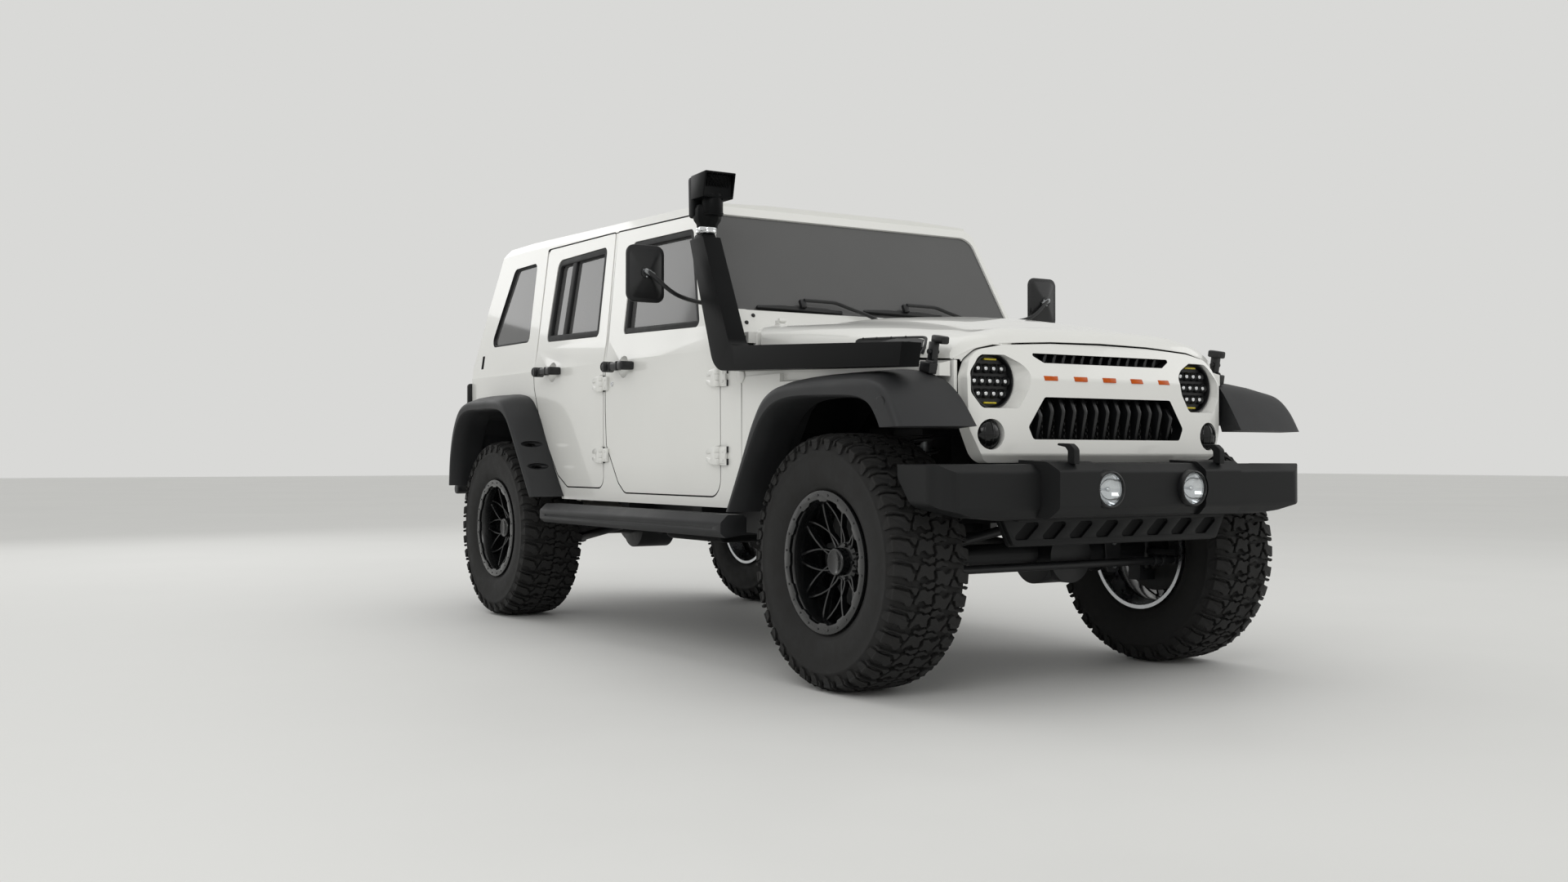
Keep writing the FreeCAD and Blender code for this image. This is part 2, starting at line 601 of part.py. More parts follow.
# Cabin: dashboard, seat bases and soft seats.
dash = prismY([(620, 1040, 30), (600, 1190, 30), (640, 1218, 20), (800, 1219.5), (880, 1200),
               (880, 1000), (700, 1000, 20)], -680, 680)
column = rod((700, 370, 1085), (554.3, 370, 1135.3), 30)
node("dashboard", joined([dash, column]))
seatBases = []
for side in (-1, 1):
    seatBases.append(block(20, 460, side * 370 - 200, side * 370 + 200, floorZ + 30, 760))
seatBases.append(block(-960, -560, -512, 512, 730, 800).fuse(
    block(-700, -600, -500, 500, floorZ + 30, 800)))
node("seat_bases", seatBases)
seats = []
for side in (-1, 1):
    y = side * 370
    cushion = prismY([(-20, 760.3, 20), (470, 760.3, 40), (480, 880, 50), (60, 860), (-110, 1380, 40),
                      (-200, 1370, 40), (-60, 850, 40)], y - 240, y + 240)
    head = prismY([(-108, 1350, 10), (-196, 1344, 10), (-240, 1560, 40), (-150, 1566, 40)],
                  y - 120, y + 120)
    seats.append(joined([cushion, head]))
node("front_seats", seats)
bench = prismY([(-980, 800.3, 20), (-520, 800.3, 40), (-510, 930, 50), (-900, 900), (-1010, 1400, 40),
                (-1110, 1390, 40), (-1010, 890, 40)], -510, 510)
node("rear_seat", bench)

# Steering wheel: ring, hub and spokes, bound to the sheet.
wheelTilt = Rotation(Vector(0, 1, 0), -71)
ring = bound("Torus", "steeringRing", (0, 0, 0), Radius1="sizes.steeringRim", Radius2=15)
hubPad = bound("Cylinder", "steeringHub", (0, 0, -20), Radius=55, Height=40)
spokes = [
    bound("Box", "steeringSpoke" + str(i), (0, 0, 0), Length="sizes.steeringRim", Width=34, Height=12)
    for i in range(3)
]
for spoke, angle in zip(spokes, (0, 90, 270)):
    turn = Rotation(Vector(0, 0, 1), angle)
    offset = turn.multVec(Vector(0, -17, -6))
    spoke.Placement = Placement(offset, turn)
    for axis, value in zip("xyz", offset):
        spoke.setExpression("Placement.Base." + axis, str(round(value, 3)))
steeringWheel = fused("steering_wheel", [ring, hubPad] + spokes)
steeringWheel.Placement = Placement(Vector(535, 370, 1142), wheelTilt)

# Axles, bound to the sheet.
frontPieces = [
    bound("Cylinder", "frontTube", ("sizes.frontAxleX", "-sizes.kingpinY + 42", "sizes.axleHeight"),
          alongY, Radius="sizes.axleTube", Height="2 * sizes.kingpinY - 84"),
    bound("Cylinder", "frontDiff", ("sizes.frontAxleX", 60, "sizes.axleHeight - 8"), alongY, Radius=104,
          Height=180),
    bound("Cylinder", "frontCover", ("sizes.frontAxleX", 150, "sizes.axleHeight - 8"), alongX,
          Radius=98, Height=108),
    bound("Cylinder", "frontPinion", ("sizes.frontAxleX - 230", 150, "sizes.axleHeight + 10"), alongX,
          Radius=48, Height=160),
]
for side in (-1, 1):
    word = "Left" if side > 0 else "Right"
    yoke = bound("Box", "yoke" + word, ("sizes.frontAxleX - 30", f"{side} * (sizes.kingpinY - 20) - 40",
                 "sizes.axleHeight - 120"), Length=60, Width=80, Height=240)
    gapBox = bound("Box", "yokeGap" + word, ("sizes.frontAxleX - 60",
                   f"{side} * (sizes.kingpinY + 5) - 45", "sizes.axleHeight - 80"),
                   Length=120, Width=90, Height=160)
    cut = doc.addObject("Part::Cut", "yokeCut" + word)
    cut.Base, cut.Tool = yoke, gapBox
    frontPieces.append(cut)
    perch = bound("Box", "frontPerch" + word, ("sizes.frontAxleX - 65", f"{side} * 440 - 65",
                  "sizes.axleHeight + 30"), Length=130, Width=130, Height=26)
    frontPieces.append(perch)
fused("front_axle", frontPieces)
rearPieces = [
    bound("Cylinder", "rearTube", ("sizes.frontAxleX - sizes.wheelBase", "-sizes.wheelCentreY - 1.7",
          "sizes.axleHeight"), alongY, Radius="sizes.axleTube + 4",
          Height="2 * sizes.wheelCentreY + 3.4"),
    bound("Cylinder", "rearDiff", ("sizes.frontAxleX - sizes.wheelBase", -95, "sizes.axleHeight"),
          alongY, Radius=118, Height=190),
    bound("Cylinder", "rearCover", ("sizes.frontAxleX - sizes.wheelBase - 140", 0,
          "sizes.axleHeight"), alongX, Radius=108, Height=120),
    bound("Cylinder", "rearPinion", ("sizes.frontAxleX - sizes.wheelBase + 60", 0,
          "sizes.axleHeight + 10"), alongX, Radius=48, Height=170),
]
for side in (-1, 1):
    word = "Left" if side > 0 else "Right"
    rearPieces.append(bound("Box", "rearPerch" + word, ("sizes.frontAxleX - sizes.wheelBase - 65",
                            f"{side} * 440 - 65", "sizes.axleHeight + 34"),
                            Length=130, Width=130, Height=26))
fused("rear_axle", rearPieces)

# Springs, dampers, arms and the track bar.
suspensionParts = []
axleZ = size["axleHeight"]
frontAxle = size["frontAxleX"]
for side in (-1, 1):
    y = side * 440
    suspensionParts.append(rod((frontAxle, y, axleZ + 56), (frontAxle, y, 862), 58))
    suspensionParts.append(rod((rearAxleX, y, axleZ + 60), (rearAxleX, y, 668), 58))
    suspensionParts.append(rod((frontAxle - 30, side * 395, axleZ - 60), (1115.7, side * 288.5, 445), 21))
    suspensionParts.append(rod((rearAxleX + 30, side * 420, axleZ - 60), (-764.1, side * 399, 466), 21))
    suspensionParts.append(rod((rearAxleX - 93, side * 470, axleZ - 20),
                               (rearAxleX - 120, side * 390, 664), 26))
suspensionParts.append(rod((frontAxle + 83, -400, axleZ + 46), (frontAxle + 83, 281.2, 611), 18))
node("suspension", joined(suspensionParts))

# Gearbox, transfer case, shafts, tank and exhaust.
drive = joined([
    block(420, 1120, -130, 130, 480, 591.5),
    block(300, 560, -120, 250, 430, 585),
    rod(shaftStart, shaftEnd, 32),
    rod(frontShaftStart, frontShaftEnd, 28),
])
node("driveline", drive)
node("gearbox", block(912, 1120, -160, 160, 600, 900))
tank = bound("Box", "fuel_tank_block", (-600, -284.8, 400), Length=560, Width=240, Height=170)
tankRound = doc.addObject("Part::Fillet", "fuel_tank")
tankRound.Base = tank
doc.recompute()
tankRound.Edges = [(i + 1, 30.0, 30.0) for i in range(len(tank.Shape.Edges))]
tankRound.Label = "fuel_tank"
nodes.append(tankRound)
exhaust = joined([
    rod((-1640, -285, 560), (-1640, 200, 560), 85),
    rod((-1640, 150, 560), (-1960, 150, 520), 26),
    rod((-1640, -230, 560), (-1200, -230, 640), 26),
])
node("exhaust", exhaust)

# Rear bumper of two tubes with end plates and brackets.
bumperX = -1948
tubes = []
for i, z in enumerate((732, 618)):
    tubes.append(bound("Cylinder", "rearBumperTube" + str(i), (bumperX, -835, z), alongY, Radius=25,
                       Height=1670))
for side in (-1, 1):
    word = "Left" if side > 0 else "Right"
    tubes.append(bound("Box", "rearBumperPost" + word, (bumperX - 12, side * 600 - 20, 618),
                       Length=24, Width=40, Height=114))
    tubes.append(bound("Box", "rearBumperArm" + word, (bumperX, side * 325 - 30, 600),
                       Length=57.6, Width=60, Height=70))
    tubes.append(bound("Box", "rearBumperEnd" + word, (bumperX - 12, side * 820 - 12, 618),
                       Length=24, Width=24, Height=114))
fused("rear_bumper", tubes)

# Mirrors on arms from the doors.
mirrorHead = prismZ([(616, 936, 8), (652, 964, 16), (652, 1078, 16), (616, 1108, 8)], 1384, 1606)
mirrorArm = [
    rod((640, 1019, 1500), (668, 928, 1416), 13),
    rod((668, 936, 1424), (650, 735, 1392), 14),
    block(630, 676, 700, 752, 1366, 1420),
]
mirror = mirrorHead.fuse(mirrorArm).cut(doorBand)
mirror = max(mirror.Solids, key=lambda s: s.Volume)
node("mirror_left", mirror)
node("mirror_right", mirrored(mirror))

# Knuckles with arms; the tie rod joins their ends.
for side, word in ((-1, "right"), (1, "left")):
    pinY = side * size["kingpinY"]
    start = "sizes.kingpinY + 32" if side > 0 else "-sizes.wheelCentreY - 1.7"
    knuckle = bound("Cylinder", "knuckleHub" + word, ("sizes.frontAxleX", start, "sizes.axleHeight"),
                    alongY, Radius=62, Height="sizes.wheelCentreY + 1.7 - sizes.kingpinY - 32")
    post = bound("Cylinder", "knucklePost" + word, ("sizes.frontAxleX", f"{side} * sizes.kingpinY",
                 "sizes.axleHeight - 79.6"), Radius=24, Height=159.2)
    neck = bound("Box", "knuckleNeck" + word, ("sizes.frontAxleX - 20",
                 f"{side} * (sizes.kingpinY + 20) - 20", "sizes.axleHeight - 55"),
                 Length=40, Width=40, Height=110)
    arm = bound("Box", "knuckleArm" + word, ("sizes.frontAxleX", f"{side} * sizes.kingpinY - 14",
                "sizes.axleHeight - sizes.tieRodDrop + 16.2"), Length="sizes.steerArm + 18", Width=28, Height=22)
    fused("knuckle_" + word, [knuckle, post, neck, arm])
tie = bound("Cylinder", "tie_rod_bar", ("sizes.frontAxleX + sizes.steerArm", "-sizes.kingpinY",
            "sizes.axleHeight - sizes.tieRodDrop"), alongY, Radius=15, Height="2 * sizes.kingpinY")
ends = [
    bound("Cylinder", "tieRodEnd" + str(side), ("sizes.frontAxleX + sizes.steerArm",
          f"{side} * sizes.kingpinY", "sizes.axleHeight - sizes.tieRodDrop - 19"), Radius=19, Height=35)
    for side in (-1, 1)
]
fused("tie_rod", [tie] + ends)


# Wheels: revolved profiles in a sketch, turned about the wheel's own axis.
def revolved(label, profile, place):
    body = doc.addObject("PartDesign::Body", label)
    body.Label = label
    sketch = body.newObject("Sketcher::SketchObject", label + "Profile")
    planes = [item for item in body.Origin.OriginFeatures if item.Role == "XY_Plane"]
    sketch.AttachmentSupport = (planes[0], "")
    sketch.MapMode = "FlatFace"
    count = len(profile)
    for i in range(count):
        start, end = profile[i], profile[(i + 1) % count]
        line = Part.LineSegment(Vector(start[0], start[1], 0), Vector(end[0], end[1], 0))
        sketch.addGeometry(line, False)
    for i in range(count):
        sketch.addConstraint(Sketcher.Constraint("Coincident", i, 2, (i + 1) % count, 1))
    turned = body.newObject("PartDesign::Revolution", label + "Turn")
    turned.Profile = sketch
    turned.ReferenceAxis = (sketch, ["V_Axis"])
    turned.Angle = 360
    sketch.Visibility = False
    body.Placement = place
    return body


rubber = size["tyreOuter"]
halfTyre = size["tyreWidth"] / 2
bead = size["rimBead"]
tyreProfile = [
    (bead + 0.3, -0.36 * size["tyreWidth"]), (bead + 0.3, 0.36 * size["tyreWidth"]),
    (bead + 24, 0.42 * size["tyreWidth"]), (rubber - 130, halfTyre), (rubber - 45, halfTyre),
    (rubber - 12, halfTyre - 20), (rubber, halfTyre - 42), (rubber, -halfTyre + 42),
    (rubber - 12, -halfTyre + 20), (rubber - 45, -halfTyre), (rubber - 130, -halfTyre),
    (bead + 24, -0.42 * size["tyreWidth"]),
]
halfRim = size["rimWidth"] / 2
flange = size["rimFlange"]
rimProfile = [
    (0, 60), (60, 60), (76, 70), (bead - 24, 96), (bead - 12, halfRim), (flange - 2, halfRim + 4),
    (flange - 2, 0.43 * size["tyreWidth"] + 3), (bead, 0.37 * size["tyreWidth"]),
    (bead, -0.37 * size["tyreWidth"]), (bead + 12, -halfRim), (bead - 10, -halfRim),
    (bead - 10, 30), (70, 30), (70, 2), (0, 2),
]
wheelTable = [
    # name, x, side
    ("front_left", size["frontAxleX"], 1), ("front_right", size["frontAxleX"], -1),
    ("rear_left", rearAxleX, 1), ("rear_right", rearAxleX, -1),
]
for name, x, side in wheelTable:
    turn = Rotation() if side > 0 else Rotation(Vector(0, 0, 1), 180)
    spot = Placement(Vector(x, side * size["wheelCentreY"], axleZ), turn)
    nodes.append(revolved("tyre_" + name, tyreProfile, spot))
    nodes.append(revolved("rim_" + name, rimProfile, spot))
sparePlace = Placement(Vector(size["spareX"], 0, size["spareZ"]), Rotation(Vector(0, 0, 1), 90))
nodes.append(revolved("spare_tyre", tyreProfile, sparePlace))
nodes.append(revolved("spare_rim", rimProfile, sparePlace))

doc.recompute()
for item in doc.Objects:
    faults = [word for word in item.State if word in ("Invalid", "Error")]
    if faults:
        raise RuntimeError(item.Label + " did not compute: " + str(faults))
os.makedirs("parts", exist_ok=True)
for piece in nodes:
    shape = piece.Shape
    if shape.isNull() or not shape.isValid() or shape.Volume < 1:
        raise RuntimeError(piece.Label + " has no valid solid")
    print(piece.Label, len(shape.Solids), round(shape.Volume / 1e6, 2), "litres")
    shape.exportStep("parts/" + piece.Label + ".step")
print(len(nodes), "parts written")
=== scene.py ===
from math import atan2, cos, pi, radians, sin, tan

import bpy
from mathutils import Matrix, Vector


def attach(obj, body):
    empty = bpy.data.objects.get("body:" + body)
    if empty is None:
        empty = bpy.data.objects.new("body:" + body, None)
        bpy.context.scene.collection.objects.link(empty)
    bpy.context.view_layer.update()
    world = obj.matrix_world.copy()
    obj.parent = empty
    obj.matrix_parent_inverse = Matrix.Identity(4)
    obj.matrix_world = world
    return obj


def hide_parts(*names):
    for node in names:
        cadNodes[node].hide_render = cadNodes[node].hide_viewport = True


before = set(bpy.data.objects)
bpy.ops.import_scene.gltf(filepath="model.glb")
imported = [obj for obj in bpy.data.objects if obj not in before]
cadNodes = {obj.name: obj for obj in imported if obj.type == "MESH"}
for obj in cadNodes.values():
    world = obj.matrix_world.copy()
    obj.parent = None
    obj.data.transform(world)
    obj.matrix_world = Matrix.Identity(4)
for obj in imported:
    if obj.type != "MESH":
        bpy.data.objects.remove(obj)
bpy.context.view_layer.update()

scene = bpy.context.scene


# Selection and modelling helpers.
def deselect():
    if bpy.context.object and bpy.context.object.mode != "OBJECT":
        bpy.ops.object.mode_set(mode="OBJECT")
    bpy.ops.object.select_all(action="DESELECT")


def activate(piece):
    deselect()
    piece.select_set(True)
    bpy.context.view_layer.objects.active = piece


def editAll(piece):
    activate(piece)
    bpy.ops.object.mode_set(mode="EDIT")
    bpy.ops.mesh.select_all(action="SELECT")


def objectMode():
    bpy.ops.object.mode_set(mode="OBJECT")


def newest(name):
    piece = bpy.context.object
    piece.name = name
    piece.data.name = name
    return piece


def applyPlace(piece):
    activate(piece)
    bpy.ops.object.transform_apply(location=True, rotation=True, scale=True)
    return piece


def startBox(name, low, high):
    deselect()
    middle = [(a + b) / 2 for a, b in zip(low, high)]
    bpy.ops.mesh.primitive_cube_add(size=1, location=middle)
    piece = newest(name)
    piece.scale = [abs(b - a) for a, b in zip(low, high)]
    return applyPlace(piece)


# Cylinder from one point to another.
def startRod(name, start, end, radius, sides=24, endRadius=None):
    deselect()
    start, end = Vector(start), Vector(end)
    turn = (end - start).to_track_quat("Z", "Y").to_euler()
    bpy.ops.mesh.primitive_cone_add(vertices=sides, radius1=radius, radius2=endRadius or radius,
        depth=(end - start).length, location=(start + end) / 2, rotation=turn)
    return applyPlace(newest(name))


def startBall(name, centre, radius, rings=10, sides=16):
    deselect()
    bpy.ops.mesh.primitive_uv_sphere_add(segments=sides, ring_count=rings, radius=radius, location=centre)
    return applyPlace(newest(name))


def startRing(name, centre, axis, major, minor, majorSides=48, minorSides=10):
    deselect()
    turn = Vector(axis).to_track_quat("Z", "Y").to_euler()
    bpy.ops.mesh.primitive_torus_add(major_radius=major, minor_radius=minor, location=centre, rotation=turn,
        major_segments=majorSides, minor_segments=minorSides)
    return applyPlace(newest(name))


# Corners given as (a, b, radius) become arcs of a few points.
def rounded(points, steps=5):
    outline = []
    count = len(points)
    for i, point in enumerate(points):
        here = Vector(point[:2])
        radius = point[2] if len(point) > 2 else 0
        if not radius:
            outline.append(tuple(here))
            continue
        before = (Vector(points[i - 1][:2]) - here)
        after = (Vector(points[(i + 1) % count][:2]) - here)
        half = before.angle(after) / 2
        back = min(radius / tan(half), before.length * 0.49, after.length * 0.49)
        radius = back * tan(half)
        centre = here + (before.normalized() + after.normalized()).normalized() * (radius / sin(half))
        first = here + before.normalized() * back - centre
        last = here + after.normalized() * back - centre
        sweep = atan2(first.x * last.y - first.y * last.x, first.dot(last))
        for step in range(steps + 1):
            turn = Matrix.Rotation(sweep * step / steps, 2)
            outline.append(tuple(centre + turn @ first))
    return outline


# Prism of an outline in the two other axes.
def plate(name, outline, axis, low, high):
    deselect()
    bpy.ops.mesh.primitive_circle_add(vertices=len(outline), fill_type="NGON")
    piece = newest(name)
    for vertex, (a, b) in zip(piece.data.vertices, outline):
        spot = [a, b]
        spot.insert(axis, low)
        vertex.co = spot
    reach = [0, 0, 0]
    reach[axis] = high - low
    editAll(piece)
    bpy.ops.mesh.extrude_region_move(TRANSFORM_OT_translate={"value": reach})
    return facedOut(piece)


def facedOut(piece):
    editAll(piece)
    bpy.ops.mesh.remove_doubles(threshold=0.00001)
    bpy.ops.mesh.normals_make_consistent(inside=False)
    objectMode()
    return piece


# Closed or open profile of (radius, along) turned about an axis through centre.
def turned(name, profile, centre, axis, steps=48):
    deselect()
    bpy.ops.mesh.primitive_circle_add(vertices=len(profile), fill_type="NOTHING")
    piece = newest(name)
    axis = Vector(axis).normalized()
    side = axis.orthogonal().normalized()
    for vertex, (radius, along) in zip(piece.data.vertices, profile):
        vertex.co = Vector(centre) + side * radius + axis * along
    editAll(piece)
    bpy.ops.mesh.spin(steps=steps, angle=2 * pi, center=centre, axis=axis)
    return facedOut(piece)


# Fills the open ends of the piece that is being edited.
def fillEnds():
    bpy.ops.mesh.select_mode(type="EDGE")
    bpy.ops.mesh.select_all(action="DESELECT")
    bpy.ops.mesh.select_non_manifold()
    bpy.ops.mesh.fill_holes(sides=0)


# Closed rings of equal length joined in order, with both ends filled.
def lofted(name, rings):
    deselect()
    around, along = len(rings[0]), len(rings)
    bpy.ops.mesh.primitive_grid_add(x_subdivisions=around, y_subdivisions=along - 1, size=1)
    piece = newest(name)
    for j, ring in enumerate(rings):
        for i in range(around + 1):
            piece.data.vertices[j * (around + 1) + i].co = ring[i % around]
    editAll(piece)
    bpy.ops.mesh.remove_doubles(threshold=0.00001)
    fillEnds()
    return facedOut(piece)


# Even curve through control points, with a few steps in every span.
def through(points, steps):
    points = [Vector(p) for p in points]
    curve = []
    for i in range(len(points) - 1):
        a, b, c, d = (points[min(max(i + k, 0), len(points) - 1)] for k in (-1, 0, 1, 2))
        for step in range(steps):
            t = step / steps
            curve.append(0.5 * (2 * b + (c - a) * t + (2 * a - 5 * b + 4 * c - d) * t ** 2
                    + (3 * b - a - 3 * c + d) * t ** 3))
    return curve + [points[-1]]


def addModifier(piece, kind, **settings):
    modifier = piece.modifiers.new(kind.title(), kind)
    for key, value in settings.items():
        setattr(modifier, key, value)
    activate(piece)
    bpy.ops.object.modifier_apply(modifier=modifier.name)
    return piece


def bevelled(piece, width, segments=3, angle=30, clamp=True):
    addModifier(piece, "BEVEL", width=width, segments=segments, limit_method="ANGLE",
        angle_limit=radians(angle), use_clamp_overlap=clamp, miter_outer="MITER_ARC")
    return smooth(piece)


def smooth(piece, angle=40):
    activate(piece)
    bpy.ops.object.shade_smooth_by_angle(angle=radians(angle))
    return piece


def weighted(piece):
    return addModifier(piece, "WEIGHTED_NORMAL", keep_sharp=True, weight=80)


def dropped(pieces):
    for piece in pieces:
        bpy.data.objects.remove(piece)


def cutBy(piece, cutters, operation="DIFFERENCE"):
    for cutter in cutters:
        addModifier(piece, "BOOLEAN", operation=operation, object=cutter, solver="EXACT")
    dropped(cutters)
    return piece


# Boxes and rods with eased edges.
def easedBox(name, low, high, width, segments=3):
    return bevelled(startBox(name, low, high), width, segments)


def easedRod(name, start, end, radius, sides, width, segments=3):
    return bevelled(startRod(name, start, end, radius, sides), width, segments)


def copied(piece, name, matrix=None):
    twin = piece.copy()
    twin.data = piece.data.copy()
    twin.name = name
    twin.data.name = name
    scene.collection.objects.link(twin)
    if matrix is not None:
        twin.data.transform(matrix)
        if matrix.determinant() < 0:
            twin.data.flip_normals()
    return twin


def joined(pieces, name):
    activate(pieces[0])
    for piece in pieces:
        piece.select_set(True)
    if len(pieces) > 1:
        bpy.ops.object.join()
    return newest(name)


# Smooth tube through points.
def tubed(name, points, radius, sides=4, order=3, closed=False):
    line = bpy.data.curves.new(name, "CURVE")
    line.dimensions = "3D"
    spline = line.splines.new("NURBS")
    spline.points.add(len(points) - 1)
    for spot, point in zip(spline.points, points):
        spot.co = (*point, 1)
    spline.order_u = order
    spline.use_endpoint_u = not closed
    spline.use_cyclic_u = closed
    line.bevel_depth = radius
    line.bevel_resolution = sides
    line.resolution_u = 8
    line.use_fill_caps = not closed
    piece = bpy.data.objects.new(name, line)
    scene.collection.objects.link(piece)
    activate(piece)
    bpy.ops.object.convert(target="MESH")
    return smooth(newest(name))


def moveVertices(piece, change):
    for vertex in piece.data.vertices:
        vertex.co = change(vertex.co)
    return piece


# Value from a table of (place, value), straight between its rows.
def between(table, place):
    for (a, low), (b, high) in zip(table, table[1:]):
        if place <= b:
            return low + (high - low) * max(0.0, place - a) / (b - a)
    return table[-1][1]


# Cuts a piece into strips along planes without removing anything.
def sliced(piece, spots, normal):
    editAll(piece)
    for spot in spots:
        bpy.ops.mesh.select_all(action="SELECT")
        bpy.ops.mesh.bisect(plane_co=spot, plane_no=normal, use_fill=False)
    objectMode()
    return piece


flipY = Matrix.Diagonal((1, -1, 1, 1))
paired = {"left": 1, "right": -1}
sideFlips = {"left": Matrix.Identity(4), "right": flipY}


# Place on the left or the right, from one given on the left.
def sided(spot, side):
    return spot[0], side * spot[1], spot[2]


def flipped(piece):
    piece.data.transform(flipY)
    piece.data.flip_normals()


# Gives a piece its finish, its body and the nodes it stands for.
def fit(piece, body, finish, replaced=()):
    piece.data.materials.clear()
    piece.data.materials.append(finishes[finish])
    for face in piece.data.polygons:
        face.material_index = 0
    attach(piece, body)
    if replaced:
        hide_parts(*replaced)
    return piece


# A second finish on the faces that meet a test.
def painted(piece, finish, test):
    piece.data.materials.append(finishes[finish])
    for face in piece.data.polygons:
        if test(face.center, face.normal):
            face.material_index = len(piece.data.materials) - 1
    return piece


# Outline moved inwards by one distance.
def shrunk(points, amount):
    count = len(points)
    spots = [Vector(p[:2]) for p in points]
    area = sum(spots[i - 1].x * spots[i].y - spots[i].x * spots[i - 1].y for i in range(count))
    turn = 1 if area > 0 else -1
    result = []
    for i in range(count):
        before = (spots[i] - spots[i - 1]).normalized()
        after = (spots[(i + 1) % count] - spots[i]).normalized()
        normals = Vector((-before.y, before.x)) * turn, Vector((-after.y, after.x)) * turn
        middle = (normals[0] + normals[1]).normalized()
        move = amount / max(0.2, middle.dot(normals[0]))
        radius = points[i][2] if len(points[i]) > 2 else 0
        spot = spots[i] + middle * move
        result.append((spot.x, spot.y, max(0.003, radius - amount)))
    return result


# Outline table in mm, turned to metres.
def metres(points):
    return [tuple(value / 1000 for value in point) for point in points]


# A node's mesh with merged faces, ready for rounding.
def nodeCopy(nodeName, name):
    twin = copied(cadNodes[nodeName], name)
    twin.parent = None
    for key in list(twin.keys()):
        del twin[key]
    editAll(twin)
    bpy.ops.mesh.customdata_custom_splitnormals_clear()
    bpy.ops.mesh.remove_doubles(threshold=0.00005)
    bpy.ops.mesh.dissolve_limited(angle_limit=radians(0.6))
    objectMode()
    return twin


# Materials. Colours are hex and sizes are mm.
def linear(hexColour):
    parts = [int(hexColour[i:i + 2], 16) / 255 for i in (1, 3, 5)]
    return [c / 12.92 if c <= 0.04045 else ((c + 0.055) / 1.055) ** 2.4 for c in parts] + [1]


def addNode(tree, kind, settings=None, links=None):
    item = tree.nodes.new("ShaderNode" + kind)
    for key, value in (settings or {}).items():
        if isinstance(key, int) or key in item.inputs:
            item.inputs[key].default_value = value
        else:
            setattr(item, key, value)
    for key, source in (links or {}).items():
        tree.links.new(source, item.inputs[key])
    return item


# Shader with fine grain, slow mottle in two colours and a roughness range.
def makeFinish(name, dark, light, mottleSize, roughness, grain, sockets):
    finish = bpy.data.materials.new(name)
    finish.use_nodes = True
    tree = finish.node_tree
    shader = tree.nodes["Principled BSDF"]
    for key, value in sockets.items():
        shader.inputs[key].default_value = value
    spot = addNode(tree, "TexCoord").outputs["Object"]
    mottle = addNode(tree, "TexNoise", {"Scale": 1000 / mottleSize, "Detail": 4.0, "Roughness": 0.6},
        {"Vector": spot})
    blend = addNode(tree, "ValToRGB", {}, {"Fac": mottle.outputs["Fac"]})
    for stop, place, colour in zip(blend.color_ramp.elements, (0.35, 0.65), (dark, light)):
        stop.position, stop.color = place, linear(colour)
    tree.links.new(blend.outputs["Color"], shader.inputs["Base Color"])
    low, high = roughness
    grade = addNode(tree, "MapRange", {"From Min": 0.3, "From Max": 0.7, "To Min": low, "To Max": high},
        {"Value": mottle.outputs["Fac"]})
    tree.links.new(grade.outputs["Result"], shader.inputs["Roughness"])
    size, strength, depth = grain
    grit = addNode(tree, "TexNoise", {"Scale": 1000 / size, "Detail": 2.0}, {"Vector": spot})
    bump = addNode(tree, "Bump", {"Strength": strength, "Distance": depth / 1000},
        {"Height": grit.outputs["Fac"]})
    tree.links.new(bump.outputs["Normal"], shader.inputs["Normal"])
    return finish


